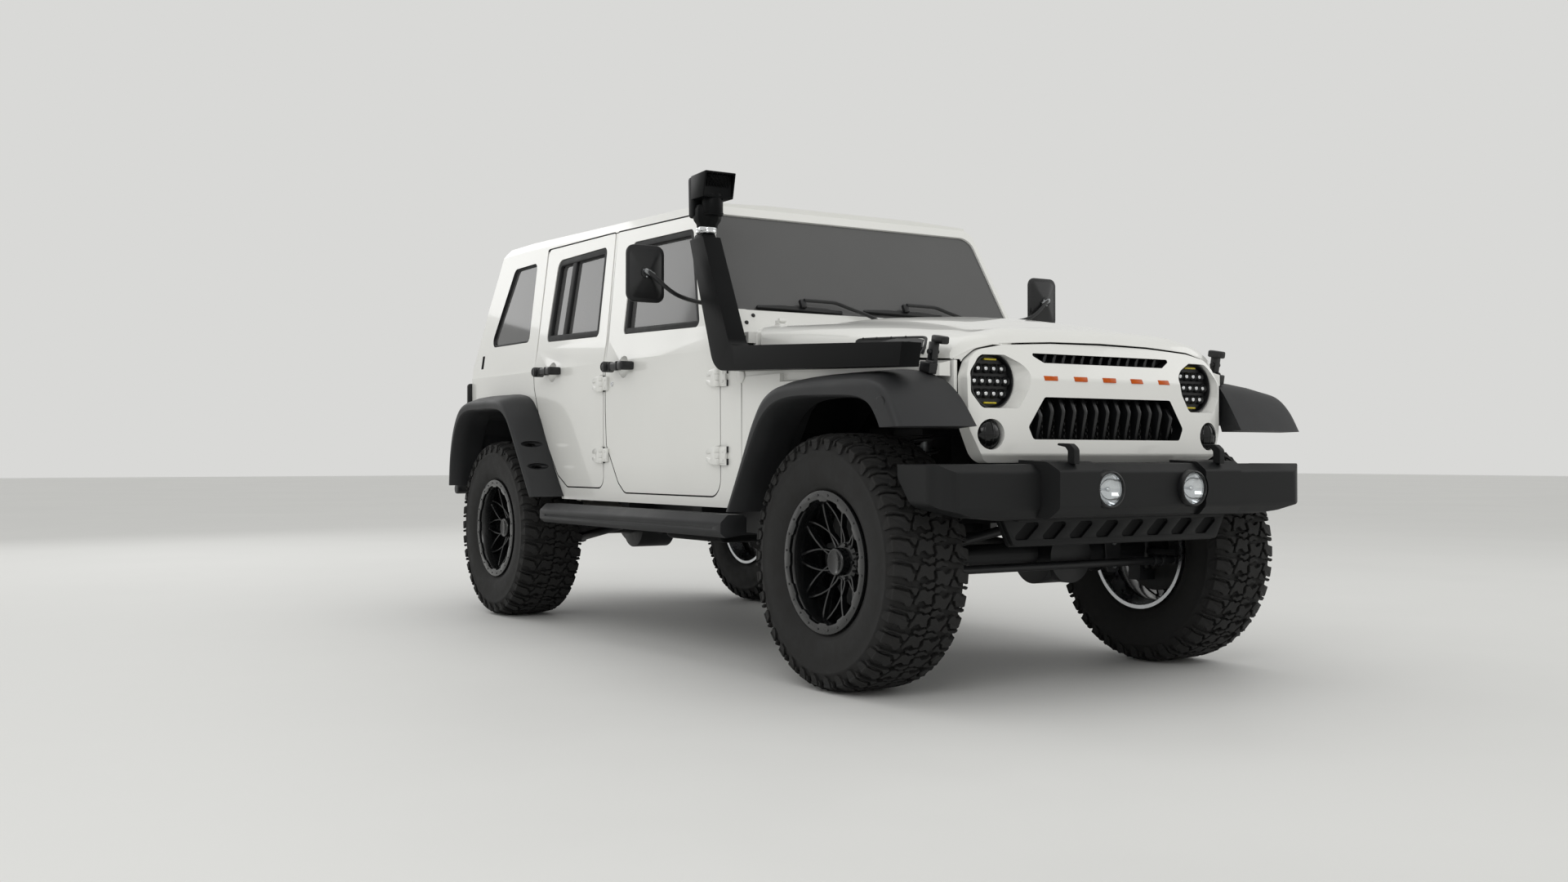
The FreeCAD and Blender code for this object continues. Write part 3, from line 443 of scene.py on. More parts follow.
looks = {
    # two colours, size of the mottle (mm), roughness, grain: size (mm), strength, depth (mm), other sockets
    # Two-layer solid paint under clear lacquer: even, glossy, with faint orange peel.
    "lacqueredPaint": ("#ebebe7", "#efefeb", 900, (0.30, 0.36), (4, 0.03, 0.2),
        {"Coat Weight": 0.8, "Coat Roughness": 0.05}),
    # Textured polypropylene mouldings: dark grey, dull, with a pebbled grain.
    "grainedPolypropylene": ("#18191b", "#1e1f21", 220, (0.50, 0.62), (2.2, 0.35, 0.3), {}),
    # Moulded polyethylene duct: almost black with a soft satin skin.
    "mouldedPolyethylene": ("#08090a", "#0c0d0e", 160, (0.34, 0.42), (1.6, 0.10, 0.15),
        {"Specular IOR Level": 0.1}),
    # Textured powder coat of the steel bumper: deep black-grey, fine dry grain.
    "texturedPowderCoat": ("#0e0f10", "#131415", 180, (0.48, 0.58), (1.8, 0.3, 0.25),
        {"Specular IOR Level": 0.28}),
    # Glass-filled nylon of small parts: black, a little shinier.
    "glassFilledNylon": ("#0c0d0e", "#121315", 60, (0.32, 0.42), (1.2, 0.15, 0.15), {}),
    # Powder-coated steel of axles and frame: black with slight orange peel and dust.
    "powderCoatedSteel": ("#101113", "#191a1c", 140, (0.38, 0.55), (3, 0.2, 0.25), {}),
    # Gloss black powder coat over cast aluminium wheels.
    "blackWheelCoat": ("#090a0b", "#0e0f10", 80, (0.22, 0.30), (2.5, 0.08, 0.15),
        {"Coat Weight": 0.35, "Coat Roughness": 0.12}),
    # Machined aluminium of the rim barrels.
    "machinedAluminium": ("#b9bbbd", "#cfd1d3", 70, (0.22, 0.34), (1.5, 0.1, 0.1), {"Metallic": 1.0}),
    # Tyre tread compound: carbon-black rubber, dull, greyer where it is dusty.
    "treadRubber": ("#0f0f0f", "#191817", 45, (0.72, 0.88), (2, 0.4, 0.35), {}),
    # Extruded window seals.
    "sealRubber": ("#1b1c1d", "#232425", 50, (0.6, 0.75), (1.2, 0.15, 0.1), {}),
    # Bright chrome plate.
    "chromePlate": ("#d6d8da", "#e2e3e4", 90, (0.06, 0.11), (3, 0.03, 0.05), {"Metallic": 1.0}),
    # Zinc-plated bolts.
    "zincPlate": ("#8f9294", "#a9abac", 8, (0.32, 0.48), (1, 0.2, 0.08), {"Metallic": 1.0}),
    # Sand-cast iron of the engine and gearbox.
    "sandCastIron": ("#3a3b3c", "#4a4a49", 60, (0.6, 0.78), (2.5, 0.6, 0.5), {"Metallic": 0.6}),
    # Aluminised steel of the exhaust.
    "aluminisedSteel": ("#7b7873", "#918e88", 90, (0.35, 0.55), (2, 0.2, 0.15), {"Metallic": 1.0}),
    # Slush-moulded dashboard skin.
    "dashboardSkin": ("#222325", "#292a2c", 120, (0.6, 0.7), (2.4, 0.4, 0.3), {}),
    # Amber acrylic markers, lit faintly from behind.
    "amberAcrylic": ("#b04a08", "#bf560c", 12, (0.15, 0.22), (2, 0.1, 0.1),
        {"Specular IOR Level": 0.2, "Emission Color": linear("#c05008"), "Emission Strength": 0.08}),
    # Red acrylic rear lenses.
    "redAcrylic": ("#7d0c10", "#8f1216", 14, (0.12, 0.18), (4, 0.1, 0.2), {"Coat Weight": 0.5}),
    # Smoked acrylic over the turn lamps.
    "smokedAcrylic": ("#090a0a", "#0f1010", 16, (0.1, 0.16), (4, 0.1, 0.1),
        {"Coat Weight": 0.1, "Specular IOR Level": 0.3}),
    # Yellow light guides in the headlamps.
    "yellowAcrylic": ("#b8a51c", "#d8c62c", 6, (0.15, 0.25), (2, 0.1, 0.1), {}),
    # Embossed aluminium plate, blank and white.
    "plateEnamel": ("#d8d8d4", "#dededb", 90, (0.35, 0.45), (3, 0.05, 0.1), {}),
    # Poured concrete of the pale studio floor.
    "paleFloor": ("#e4e4e2", "#e8e8e6", 2500, (0.55, 0.7), (12, 0.03, 0.3), {}),
    }
finishes = {name: makeFinish(name, *look) for name, look in looks.items()}


# Grey privacy glass: dark body tint with a clean glossy face, a little light passes.
def makeGlass(name, hexColour, passes, rough):
    finish = bpy.data.materials.new(name)
    finish.use_nodes = True
    tree = finish.node_tree
    shader = tree.nodes["Principled BSDF"]
    place = addNode(tree, "TexCoord").outputs["Object"]
    haze = addNode(tree, "TexNoise", {"Scale": 1000 / 260, "Detail": 3.0}, {"Vector": place})
    blend = addNode(tree, "ValToRGB", {}, {"Fac": haze.outputs["Fac"]})
    tint = linear(hexColour)
    blend.color_ramp.elements[0].color = [c * 0.95 for c in tint[:3]] + [1]
    blend.color_ramp.elements[1].color = [min(1, c * 1.05) for c in tint[:3]] + [1]
    tree.links.new(blend.outputs["Color"], shader.inputs["Base Color"])
    shader.inputs["Transmission Weight"].default_value = passes
    shader.inputs["IOR"].default_value = 1.5
    smear = addNode(tree, "MapRange", {"To Min": rough, "To Max": rough * 1.6},
        {"Value": haze.outputs["Fac"]})
    tree.links.new(smear.outputs["Result"], shader.inputs["Roughness"])
    return finish


finishes["privacyGlass"] = makeGlass("privacyGlass", "#6a6a6a", 0.35, 0.04)
finishes["clearLens"] = makeGlass("clearLens", "#f4f6f7", 1.0, 0.02)
finishes["mirrorGlass"] = makeFinish("mirrorGlass", "#c8cccf", "#d0d4d6", 200, (0.02, 0.04), (20, 0.01, 0.02),
    {"Metallic": 1.0})


# Woven polyester seat cloth: two thread directions of 2.4 mm, drawn coarse enough to show.
def makeCloth(name, threadMm, dark, light):
    finish = bpy.data.materials.new(name)
    finish.use_nodes = True
    tree = finish.node_tree
    shader = tree.nodes["Principled BSDF"]
    shader.inputs["Sheen Weight"].default_value = 0.35
    shader.inputs["Roughness"].default_value = 0.9
    place = addNode(tree, "TexCoord").outputs["Object"]
    scale = 1000 / threadMm / 2
    warp = addNode(tree, "TexWave", {"bands_direction": "Y", "Scale": scale / 3.14, "Distortion": 0.6,
            "Detail": 1.0}, {"Vector": place})
    weft = addNode(tree, "TexWave", {"bands_direction": "DIAGONAL", "Scale": scale / 3.14, "Distortion": 0.6,
            "Detail": 1.0}, {"Vector": place})
    cross = addNode(tree, "Math", {"operation": "MULTIPLY"}, {0: warp.outputs["Fac"], 1: weft.outputs["Fac"]})
    blend = addNode(tree, "ValToRGB", {}, {"Fac": cross.outputs["Value"]})
    blend.color_ramp.elements[0].color = linear(dark)
    blend.color_ramp.elements[1].color = linear(light)
    tree.links.new(blend.outputs["Color"], shader.inputs["Base Color"])
    bump = addNode(tree, "Bump", {"Strength": 0.5, "Distance": 0.0006}, {"Height": cross.outputs["Value"]})
    tree.links.new(bump.outputs["Normal"], shader.inputs["Normal"])
    return finish


finishes["wovenPolyester"] = makeCloth("wovenPolyester", 2.4, "#1d1e20", "#3a3b3d")
print("materials", len(finishes))

# Studio: pale floor, soft lamps and the camera.
studio = {"floorHalf": 60.0, "cameraPlace": (5.810, -3.668, 0.783),
    "cameraTurn": (90.65, 0.0, 57.64), "lens": 34.51, "worldLevel": 0.92,
    "lamps": [
        # name, place, aim, width, depth, watts
        ("keyLamp", (7.5, -7.0, 6.5), (0.5, 0, 0.8), 6.0, 4.0, 190),
        ("topLamp", (0.0, 0.0, 7.5), (0.0, 0, 0.5), 9.0, 5.0, 60),
        ("fillLamp", (4.0, 8.0, 4.5), (0.5, 0, 0.8), 6.0, 3.5, 60),
        ("backLamp", (-8.5, -2.0, 4.5), (-1.0, 0, 0.9), 6.0, 3.5, 90), ]}
deselect()
bpy.ops.mesh.primitive_grid_add(x_subdivisions=4, y_subdivisions=4, size=2 * studio["floorHalf"],
    location=(0, 0, -0.0005))
floor = applyPlace(newest("studioFloor"))
floor.data.materials.append(finishes["paleFloor"])
for name, spot, aim, width, depth, watts in studio["lamps"]:
    lamp = bpy.data.lights.new(name, "AREA")
    lamp.shape = "RECTANGLE"
    lamp.size, lamp.size_y, lamp.energy = width, depth, watts
    holder = bpy.data.objects.new(name, lamp)
    holder.location = spot
    holder.rotation_euler = (Vector(aim) - Vector(spot)).to_track_quat("-Z", "Y").to_euler()
    scene.collection.objects.link(holder)
world = bpy.data.worlds.new("paleStudio")
scene.world = world
world.use_nodes = True
skyTree = world.node_tree
sky = skyTree.nodes["Background"]
sky.inputs["Color"].default_value = linear("#d9d9d7")
rays = addNode(skyTree, "LightPath")
seen = addNode(skyTree, "Math", {"operation": "MAXIMUM"}, {0: rays.outputs["Is Camera Ray"],
        1: rays.outputs["Is Glossy Ray"]})
seen = addNode(skyTree, "Math", {"operation": "MAXIMUM"}, {0: seen.outputs["Value"],
        1: rays.outputs["Is Transmission Ray"]})
level = addNode(skyTree, "MapRange", {"To Min": studio["worldLevel"], "To Max": 1.0},
    {"Value": seen.outputs["Value"]})
skyTree.links.new(level.outputs["Result"], sky.inputs["Strength"])
cameraData = bpy.data.cameras.new("studioCamera")
cameraData.lens = studio["lens"]
cameraData.sensor_width = 36
camera = bpy.data.objects.new("studioCamera", cameraData)
camera.location = studio["cameraPlace"]
camera.rotation_euler = [radians(a) for a in studio["cameraTurn"]]
scene.collection.objects.link(camera)
scene.camera = camera
scene.view_settings.view_transform = "Standard"
print("studio ready")

# Painted shells taken from the nodes, with their edges rounded: width of rounding, segments.
shellLook = {"tub": (0.003, 2), "hardtop": (0.007, 3), "windshield_frame": (0.005, 3),
    "front_fenders": (0.004, 3)}
screenLean = Matrix.Translation((0.790, 0, 1.290)) @ Matrix.Rotation(radians(-28.2), 4, "Y")
screenHole = metres([(-712, 88, 12), (712, 88, 12), (668, 549, 60), (-668, 549, 60)])
fenderTaper = metres([(1800, 800), (1800, 732), (1990, 655), (1990, 560), (2200, 560), (2200, 800)])
for nodeName, (width, segments) in shellLook.items():
    shell = nodeCopy(nodeName, nodeName + "Shell")
    if nodeName == "front_fenders":
        cutBy(shell, [plate("taper", [(x, side * y) for x, y in fenderTaper], 2, 1.000, 1.200)
                for side in (-1, 1)])
    if nodeName == "windshield_frame":
        hole = plate("screenCut", rounded(screenHole, 8), 0, -0.060, 0.020)
        hole.data.transform(screenLean)
        cutBy(shell, [hole])
    if nodeName == "hardtop":
        cutBy(shell, [startBox("roofPocket", (-1.790, side * 0.700, 1.253), (-1.758, side * 0.800, 1.322))
                for side in (-1, 1)])
    weighted(bevelled(shell, width, segments, 25))
    fit(shell, "body", "lacqueredPaint", [nodeName])
    print(nodeName, len(shell.data.polygons))

# Windshield pane, and the fender sides that run from the hood down behind the flares.
pane = plate("windshieldPane", rounded(shrunk(screenHole, 0.0006), 8), 0, -0.014, -0.009)
pane.data.transform(screenLean)
fit(pane, "body", "privacyGlass", ["windshield_glass"])
fenderSide = metres([(1700, 1112), (1900, 1106), (1996.5, 1102), (1996.5, 960), (1996.5, 880), (1960, 880),
        (1700, 1030)])
for word, side in paired.items():
    low, high = sorted((side * 0.586, side * 0.600))
    panel = plate(word + "FenderSide", fenderSide, 1, low, high)
    moveVertices(panel, lambda co: (co.x, co.y + side * max(0.0, (1.95 - co.x) * 0.10), co.z))
    fit(bevelled(panel, 0.003, 2), "body", "lacqueredPaint")

# Rounded corners of the cowl behind the hood.
cowlCorner = metres([(932, 580), (932, 706), (850, 690, 50), (850, 580)])
for word, side in paired.items():
    corner = plate(word + "CowlCorner", [(x, side * y) for x, y in rounded(cowlCorner, 8)], 2, 1.170, 1.262)
    moveVertices(corner, lambda co: (co.x, co.y, co.z + max(0.0, 0.70 - abs(co.y)) * 0.30
            if co.z > 1.2 else co.z))
    fit(bevelled(corner, 0.012, 4, 40), "body", "lacqueredPaint")

# Front bumper: long wings, two raised blocks with the lamps between them, valance and hooks.
bumperLook = {
    "plan": [(2112, -750), (2112, 750), (2006, 792), (2006, 842, 12), (2190, 842, 70), (2230, 780, 60),
        (2230, -780, 60), (2190, -842, 70), (2006, -842, 12), (2006, -792)],
    "section": [(1998, 745), (2078, 640, 60), (2108, 594, 40), (2150, 586, 40), (2204, 586, 28),
        (2230, 622, 30), (2230, 738, 16), (2196, 764, 24), (1998, 764)],
    "block": [(2130, 592), (2262, 592, 26), (2295, 624, 26), (2295, 742, 12), (2252, 772, 22), (2130, 777)],
    "front": [(560, 584), (700, 598, 120), (843, 632, 34), (843, 766, 10)],
    "centre": [(2130, 594), (2246, 594, 26), (2272, 626, 22), (2272, 738, 12), (2236, 766, 20), (2130, 768)],
    "blockY": (0.242, 0.444),
    "hook": [(2252, 764), (2284, 764), (2284, 812, 16), (2262, 829, 12), (2206, 831, 4), (2204, 824, 3),
        (2240, 818, 6), (2252, 806, 10)], "hookY": 0.334, "hookHalf": 0.012,
    "valance": [(-520, 590), (520, 590), (470, 496, 20), (-470, 496, 20)]}
frontView = metres(bumperLook["front"])
frontView += [(-p[0], *p[1:]) for p in reversed(frontView)]
bumper = plate("bumperShell", rounded(metres(bumperLook["plan"]), 6), 2, 0.586, 0.764)
for view, axis, low, high in ((metres(bumperLook["section"]), 1, -0.900, 0.900),
        (frontView, 0, 1.950, 2.300)):
    cutBy(bumper, [plate("bumperView", rounded(view, 6), axis, low, high)], "INTERSECT")
for side in (-1, 1):
    low, high = sorted(side * y for y in bumperLook["blockY"])
    block = plate("bumperBlock", rounded(metres(bumperLook["block"]), 5), 1, low, high)
    moveVertices(block, lambda co: (co.x, co.y * (1 - max(0.0, co.x - 2.230) * 0.95)
            if abs(co.y) > 0.4 else co.y, co.z))
    cutBy(bumper, [block], "UNION")
cutBy(bumper, [plate("bumperCentre", rounded(metres(bumperLook["centre"]), 5), 1, -0.2425, 0.2425)], "UNION")
cutBy(bumper, [startBox("bumperBack", (1.990, -0.560, 0.570), (2.140, 0.560, 0.700))]
    + [startRod("lampHole", (2.195, side * 0.191, 0.682), (2.320, side * 0.191, 0.682), 0.062, 48)
        for side in (-1, 1)])
bevelled(bumper, 0.007, 3, 28)
valance = plate("valance", rounded(metres(bumperLook["valance"])), 0, 2.100, 2.118)
extras = [bevelled(valance, 0.002, 2),
    easedBox("valanceFoot", (2.100, -0.470, 0.580), (2.160, 0.470, 0.600), 0.002, 1)]
for side in (-1, 1):
    y, half = side * bumperLook["hookY"], bumperLook["hookHalf"]
    hook = plate("towHook", rounded(metres(bumperLook["hook"]), 4), 1, y - half, y + half)
    extras.append(bevelled(hook, 0.003, 2, 30))
bumper = joined([bumper] + extras, "front_bumperShell")
weighted(bumper)
fit(bumper, "body", "texturedPowderCoat", ["front_bumper"])
print("bumper", len(bumper.data.polygons))


# Undersides, wheel houses and cabin faces of the painted shells are dark.
def tubInside(c, n):
    side = 1 if c.y > 0 else -1
    outside = (n.y * side > 0.25 and abs(c.y) > 0.70) or (c.z > 1.16 and n.z > 0.4 and abs(c.y) > 0.66)
    cowl = c.x > 0.74 and c.z > 1.10 and not (n.x > 0.9 and c.z < 1.19)
    return not (outside or cowl or c.z > 1.24 or (c.x < -1.80 and n.x < -0.3))


def shellInside(c, n):
    side = 1 if c.y > 0 else -1
    return n.y * side < -0.25 or n.z < -0.5 or abs(n.x) > 0.9 and c.z < 1.0


def roofInside(c, n):
    side = 1 if c.y > 0 else -1
    return n.z < -0.4 or (n.y * side < -0.3 and abs(c.y) < 0.74) or (n.x > 0.3 and c.x < -1.5)


def screenInside(c, n):
    return n.dot(Vector((-0.88, 0, -0.47))) > 0.6


for nodeName, finish, test in (("tub", "grainedPolypropylene", tubInside),
        ("front_fenders", "grainedPolypropylene", shellInside), ("hardtop", "dashboardSkin", roofInside),
        ("windshield_frame", "dashboardSkin", screenInside)):
    painted(bpy.data.objects[nodeName + "Shell"], finish, test)

# Hood: stations of x, edge y, low z, shoulder z, three (y, z) inwards and the crown z, in mm.
hoodLook = {"stations": [(936, 712, 1182, 1250, (640, 1288), (400, 1302), (330, 1309), 1320),
        (1230, 688, 1160, 1225, (610, 1266), (400, 1292), (320, 1310), 1330),
        (1520, 660, 1141, 1197, (584, 1240), (400, 1266), (315, 1286), 1303),
        (1748, 636, 1124, 1168, (560, 1212), (400, 1238), (310, 1258), 1274),
        (1900, 618, 1112, 1150, (548, 1192), (420, 1214), (300, 1227), 1236),
        (1975, 609, 1107, 1138, (539, 1181), (436, 1206), (330, 1220), 1228),
        (2018, 602, 1104, 1126, (531, 1166), (442, 1188), (330, 1198), 1206),
        (2043, 597, 1104, 1112, (525, 1144), (430, 1160), (220, 1172), 1176)],
    "thick": 0.020, "grilleTop": [(586, 700), (589, 896), (591, 1053, 52), (571, 1106, 42), (530, 1140, 60),
        (436, 1160), (223, 1171), (0, 1174)],
    "corner": [(900, 600), (936.5, 600), (936.5, 708.5, 85), (1100, 700), (1100, 800), (900, 800)],
    # how far the front falls back towards its sides: y, fall
    "fall": metres([(0, 0), (250, 3), (350, 9), (430, 15), (480, 20), (520, 26), (550, 32), (575, 41),
            (606, 54)])}
lines = []
for k in range(6):
    line = []
    for x, edge, low, shoulder, *inward, crown in hoodLook["stations"]:
        spots = [(edge, low), (edge - 5, shoulder)] + inward + [(0, crown)]
        line.append((x / 1000, spots[k][0] / 1000, spots[k][1] / 1000))
    lines.append(through(line, 4))
rings = []
for station in zip(*lines):
    half = through(station, 3)
    top = half + [Vector((p.x, -p.y, p.z)) for p in reversed(half[:-1])]
    under = [Vector((p.x, p.y * (1 - hoodLook["thick"] / 0.62),
                p.z - (hoodLook["thick"] if abs(p.y) < abs(half[0].y) - 0.001 else 0)))
        for p in reversed(top)]
    rings.append(top + under)
hood = lofted("hoodShell", rings)


# Place moved back by the fall of the front, fully from one station forwards.
def fallen(co, start=1.985, full=2.040):
    share = min(1.0, max(0.0, (co.x - start) / (full - start)))
    return co.x - between(hoodLook["fall"], abs(co.y)) * share, co.y, co.z


over = metres(hoodLook["grilleTop"])
outline = over + [(-point[0], *point[1:]) for point in reversed(over[:-1])]
corner = rounded(metres(hoodLook["corner"]), 10)
corners = [plate("hoodCorner", [(x, side * y) for x, y in corner], 2, 1.000, 1.400) for side in (-1, 1)]
cutBy(hood, [plate("grilleClear", rounded(outline, 8), 0, 1.980, 2.200),
        startBox("cowlClear", (0.900, -0.560, 1.200), (0.936, 0.560, 1.400))] + corners)
moveVertices(hood, fallen)
bevelled(hood, 0.004, 3, 50)
tabs = [easedBox("hoodHinge", (0.932, side * 0.600, 1.266), (0.984, side * 0.626, 1.2935), 0.006, 3)
    for side in (-1, 1)]
hood = weighted(smooth(joined([hood] + tabs, "hoodShell"), 38))
fit(hood, "hood", "lacqueredPaint", ["hood"])
painted(hood, "glassFilledNylon", lambda c, n: n.z < -0.5)
print("hood", len(hood.data.polygons))

# Wheels: built once with the axle along Y and the outer face at +Y, then copied.
tyreLook = {"radius": 0.434, "base": 0.4185, "shoulderBase": 0.405, "pitches": 34, "gap": 0.0014,
    # half section from bead to middle: radius, along
    "section": [(0.2235, 0.108), (0.236, 0.121), (0.247, 0.129), (0.252, 0.1335), (0.258, 0.134),
        (0.262, 0.137), (0.285, 0.1445), (0.310, 0.1485), (0.340, 0.150), (0.362, 0.1485), (0.366, 0.1500),
        (0.372, 0.1498), (0.376, 0.1465), (0.392, 0.1425), (0.406, 0.1350), (0.4145, 0.1220), (0.4180, 0.098),
        (0.4190, 0.050)],
    # tread blocks of one pitch, unrolled: along the tread, across it (mm)
    "blocks": [[(1, 90), (14, 82), (29, 78), (30, 88), (41, 92), (50, 97), (53, 112), (58, 130), (61, 150),
            (20, 151), (17, 132), (12, 112), (2, 104)], [(38, 70), (58, 62), (64, 72), (66, 96), (72, 112),
            (76, 131), (79, 151), (68, 151), (64, 131), (60, 112), (57, 94), (44, 84), (37, 80)],
        [(6, 3), (30, 8), (44, -3), (54, 10), (49, 28), (58, 40), (54, 57), (36, 64), (24, 72), (8, 76),
            (1, 66), (14, 56), (18, 40), (4, 26)], [(60, 4), (78, -3), (80, 14), (72, 30), (78, 46), (72, 52),
            (64, 50), (62, 36), (54, 24)], ],
    # biters on the shoulder: along the tread, radius (mm)
    "biters": [[(21, 412), (20, 384), (30, 378), (50, 384), (60, 412)],
        [(69, 412), (70, 396), (76, 396), (79, 412)]]}


# Radius of the tread's top at a place across it: crowned, then falling in two steps at the shoulder.
def tyreTop(across):
    radius, across = tyreLook["radius"], abs(across)
    if across < 0.092:
        return radius - 0.0012 * (across / 0.092) ** 2
    if across < 0.130:
        return radius - 0.0012 - 0.0068 * (across - 0.092) / 0.038
    return radius - 0.008 - 0.0145 * (across - 0.130) / 0.0225


def makeTyre(name):
    half, radius, pitches = tyreLook["section"], tyreLook["radius"], tyreLook["pitches"]
    profile = half + [(reach, -along) for reach, along in reversed(half)]
    carcass = smooth(turned("carcass", profile, (0, 0, 0), (0, 1, 0), 80), 50)
    pitchParts = []
    for outline in tyreLook["blocks"]:
        block = plate("treadBlock", [point[:2] for point in shrunk(metres(outline), tyreLook["gap"])], 2, 0.0,
            1.0)
        low, shoulder = tyreLook["base"] - 0.004, tyreLook["shoulderBase"]
        moveVertices(block, lambda co: (co.x, co.y, tyreTop(co.y)
                if co.z > 0.5 else low if abs(co.y) < 0.14 else shoulder))
        pitchParts.append(addModifier(block, "BEVEL", width=0.0016, segments=1, limit_method="ANGLE",
                angle_limit=radians(50), use_clamp_overlap=True))
    for outline in tyreLook["biters"]:
        lug = plate("treadLug", metres(outline), 1, 0.139, 0.1522)
        moveVertices(lug, lambda co: (co.x, co.y - (0.0062 if co.z > 0.40 and co.y > 0.15 else 0.0), co.z))
        pitchParts.append(lug)
    rightHalf = joined(pitchParts, "treadRight")
    leftHalf = copied(rightHalf, "treadLeft", Matrix.Rotation(pi, 4, "Z"))
    moveVertices(leftHalf, lambda co: (co.x + 3 * pi * radius / pitches, co.y, co.z))
    pitch = joined([rightHalf, leftHalf], "treadPitch")
    moveVertices(pitch, lambda co: (co.z * sin(co.x / radius), co.y, co.z * cos(co.x / radius)))
    rows = [pitch] + [copied(pitch, "treadPitch", Matrix.Rotation(2 * pi * i / pitches, 4, "Y"))
        for i in range(1, pitches)]
    return joined([carcass] + rows, name)


rimLook = {"ringOuter": 0.2405, "ringInner": 0.2110, "ringFace": 0.1395, "notches": 12, "bolts": 24,
    "spokes": 10, "spokeStart": 0.056, "spokeEnd": 0.2085, "nuts": 5, "boltRing": 0.2265, "nutRing": 0.0585,
    "lip": metres([(211, 127), (206, 118), (205.5, 50), (209.5, 48), (213, 100), (220, 112), (220, 127)]),
    "hub": metres([(0, 30), (66, 30), (71, 38), (71, 50), (64, 56), (50, 58), (0, 58)]),
    "cap": metres([(0, 50), (47.5, 50), (47.5, 84), (45.5, 90), (43.5, 91.5), (38, 91.5), (36.5, 90),
            (0, 89.5)]),
    "barrel": metres([(208.5, 98), (208.5, 40), (202, 26), (202, -60), (210, -72), (213, -120), (218, -133.5),
            (232, -134.5), (232.5, -129), (221.5, -126), (221.5, -108), (221.5, -75), (212, -60), (211, 40),
            (221.5, 60), (221.5, 98)])}


# Points of a circle; the radius may change with the angle.
def circled(steps, radiusAt):
    return [(radiusAt(turn) * cos(turn), radiusAt(turn) * sin(turn))
        for turn in (2 * pi * i / steps for i in range(steps))]


# Copies of a piece round the axle, in place of the piece.
def ringed(piece, count, shift=0.0):
    copies = [copied(piece, piece.name, Matrix.Rotation(2 * pi * (i + shift) / count, 4, "Y"))
        for i in range(count)]
    dropped([piece])
    return copies


def makeSpoke(lean):
    start, end = rimLook["spokeStart"], rimLook["spokeEnd"]
    beam = startBox("spoke", (-0.0042, 0.0, start), (0.0042, 1.0, end))
    editAll(beam)
    bpy.ops.mesh.subdivide(number_cuts=5)
    objectMode()

    # The spoke sweeps sideways and forwards from the hub, and is widest at its ends.
    def shape(co):
        share = max(0.0, (co.z - start) / (end - start))
        front = 0.056 + 0.034 * share ** 1.5
        back = 0.034 + 0.026 * share
        swing = radians(lean * (-10 + 25 * share))
        across = co.x * (1.0 + 0.45 * abs(2 * share - 0.75)) * (0.72 if co.y > 0.5 else 1.0)
        return (sin(swing) * co.z + cos(swing) * across, back + (front - back) * co.y,
            cos(swing) * co.z - sin(swing) * across)

    return bevelled(moveVertices(beam, shape), 0.0012, 1, 40)


def makeRim(name):
    look, face = rimLook, rimLook["ringFace"]
    inner = circled(144, lambda turn: look["ringInner"] - (0.0075
            if cos(turn * look["notches"]) > 0.35 else 0.0))
    ring = plate("lockRing", circled(96, lambda turn: look["ringOuter"]), 1, 0.127, face)
    cutBy(ring, [plate("ringHole", inner, 1, 0.10, 0.16)])
    parts = [bevelled(ring, 0.0018, 2, 50)]
    reach = look["boltRing"]
    parts += ringed(easedRod("ringBolt", (reach, face - 0.003, 0), (reach, face + 0.0028, 0), 0.0042, 10,
            0.0012, 1), look["bolts"], 0.5)
    for kind, steps, angle in (("lip", 72, 40), ("hub", 60, 40), ("cap", 48, 50)):
        parts.append(smooth(turned(kind, look[kind], (0, 0, 0), (0, 1, 0), steps), angle))
    parts += ringed(joined([makeSpoke(-1), makeSpoke(1)], "spokePair"), look["spokes"])
    reach = look["nutRing"]
    nut = startRod("wheelNut", (reach, 0.050, 0), (reach, 0.066, 0), 0.0075, 6)
    parts += [bevelled(piece, 0.001, 1) for piece in ringed(nut, look["nuts"], 0.5)]
    return joined(parts, name)


tyreMaster = makeTyre("tyreMaster")
rimMaster = makeRim("rimMaster")
barrelMaster = smooth(turned("barrelMaster", rimLook["barrel"], (0, 0, 0), (0, 1, 0), 72), 35)
print("wheel parts", len(tyreMaster.data.polygons), len(rimMaster.data.polygons))
wheelPlaces = {
    "front_left": ((1.630, 0.727, 0.434), 0), "front_right": ((1.630, -0.727, 0.434), 180),
    "rear_left": ((-1.317, 0.727, 0.434), 0), "rear_right": ((-1.317, -0.727, 0.434), 180),
    "spare": ((-2.142, 0.0, 1.020), 90),
    }
for spotName, (spot, turnAngle) in wheelPlaces.items():
    matrix = Matrix.Translation(spot) @ Matrix.Rotation(radians(turnAngle), 4, "Z")
    if spotName == "spare":
        body, tyreNode, rimNode = "tailgate", "spare_tyre", "spare_rim"
    else:
        body, tyreNode, rimNode = "wheel_" + spotName, "tyre_" + spotName, "rim_" + spotName
    fit(copied(tyreMaster, spotName + "Tyre", matrix), body, "treadRubber", [tyreNode])
    fit(copied(rimMaster, spotName + "Rim", matrix), body, "blackWheelCoat", [rimNode])
    barrel = fit(copied(barrelMaster, spotName + "Barrel", matrix), body, "machinedAluminium")
    inwards = matrix.inverted()
    painted(barrel, "blackWheelCoat", lambda c, n: (inwards @ c).y > -0.02)
dropped([tyreMaster, rimMaster, barrelMaster])
print("wheels placed")

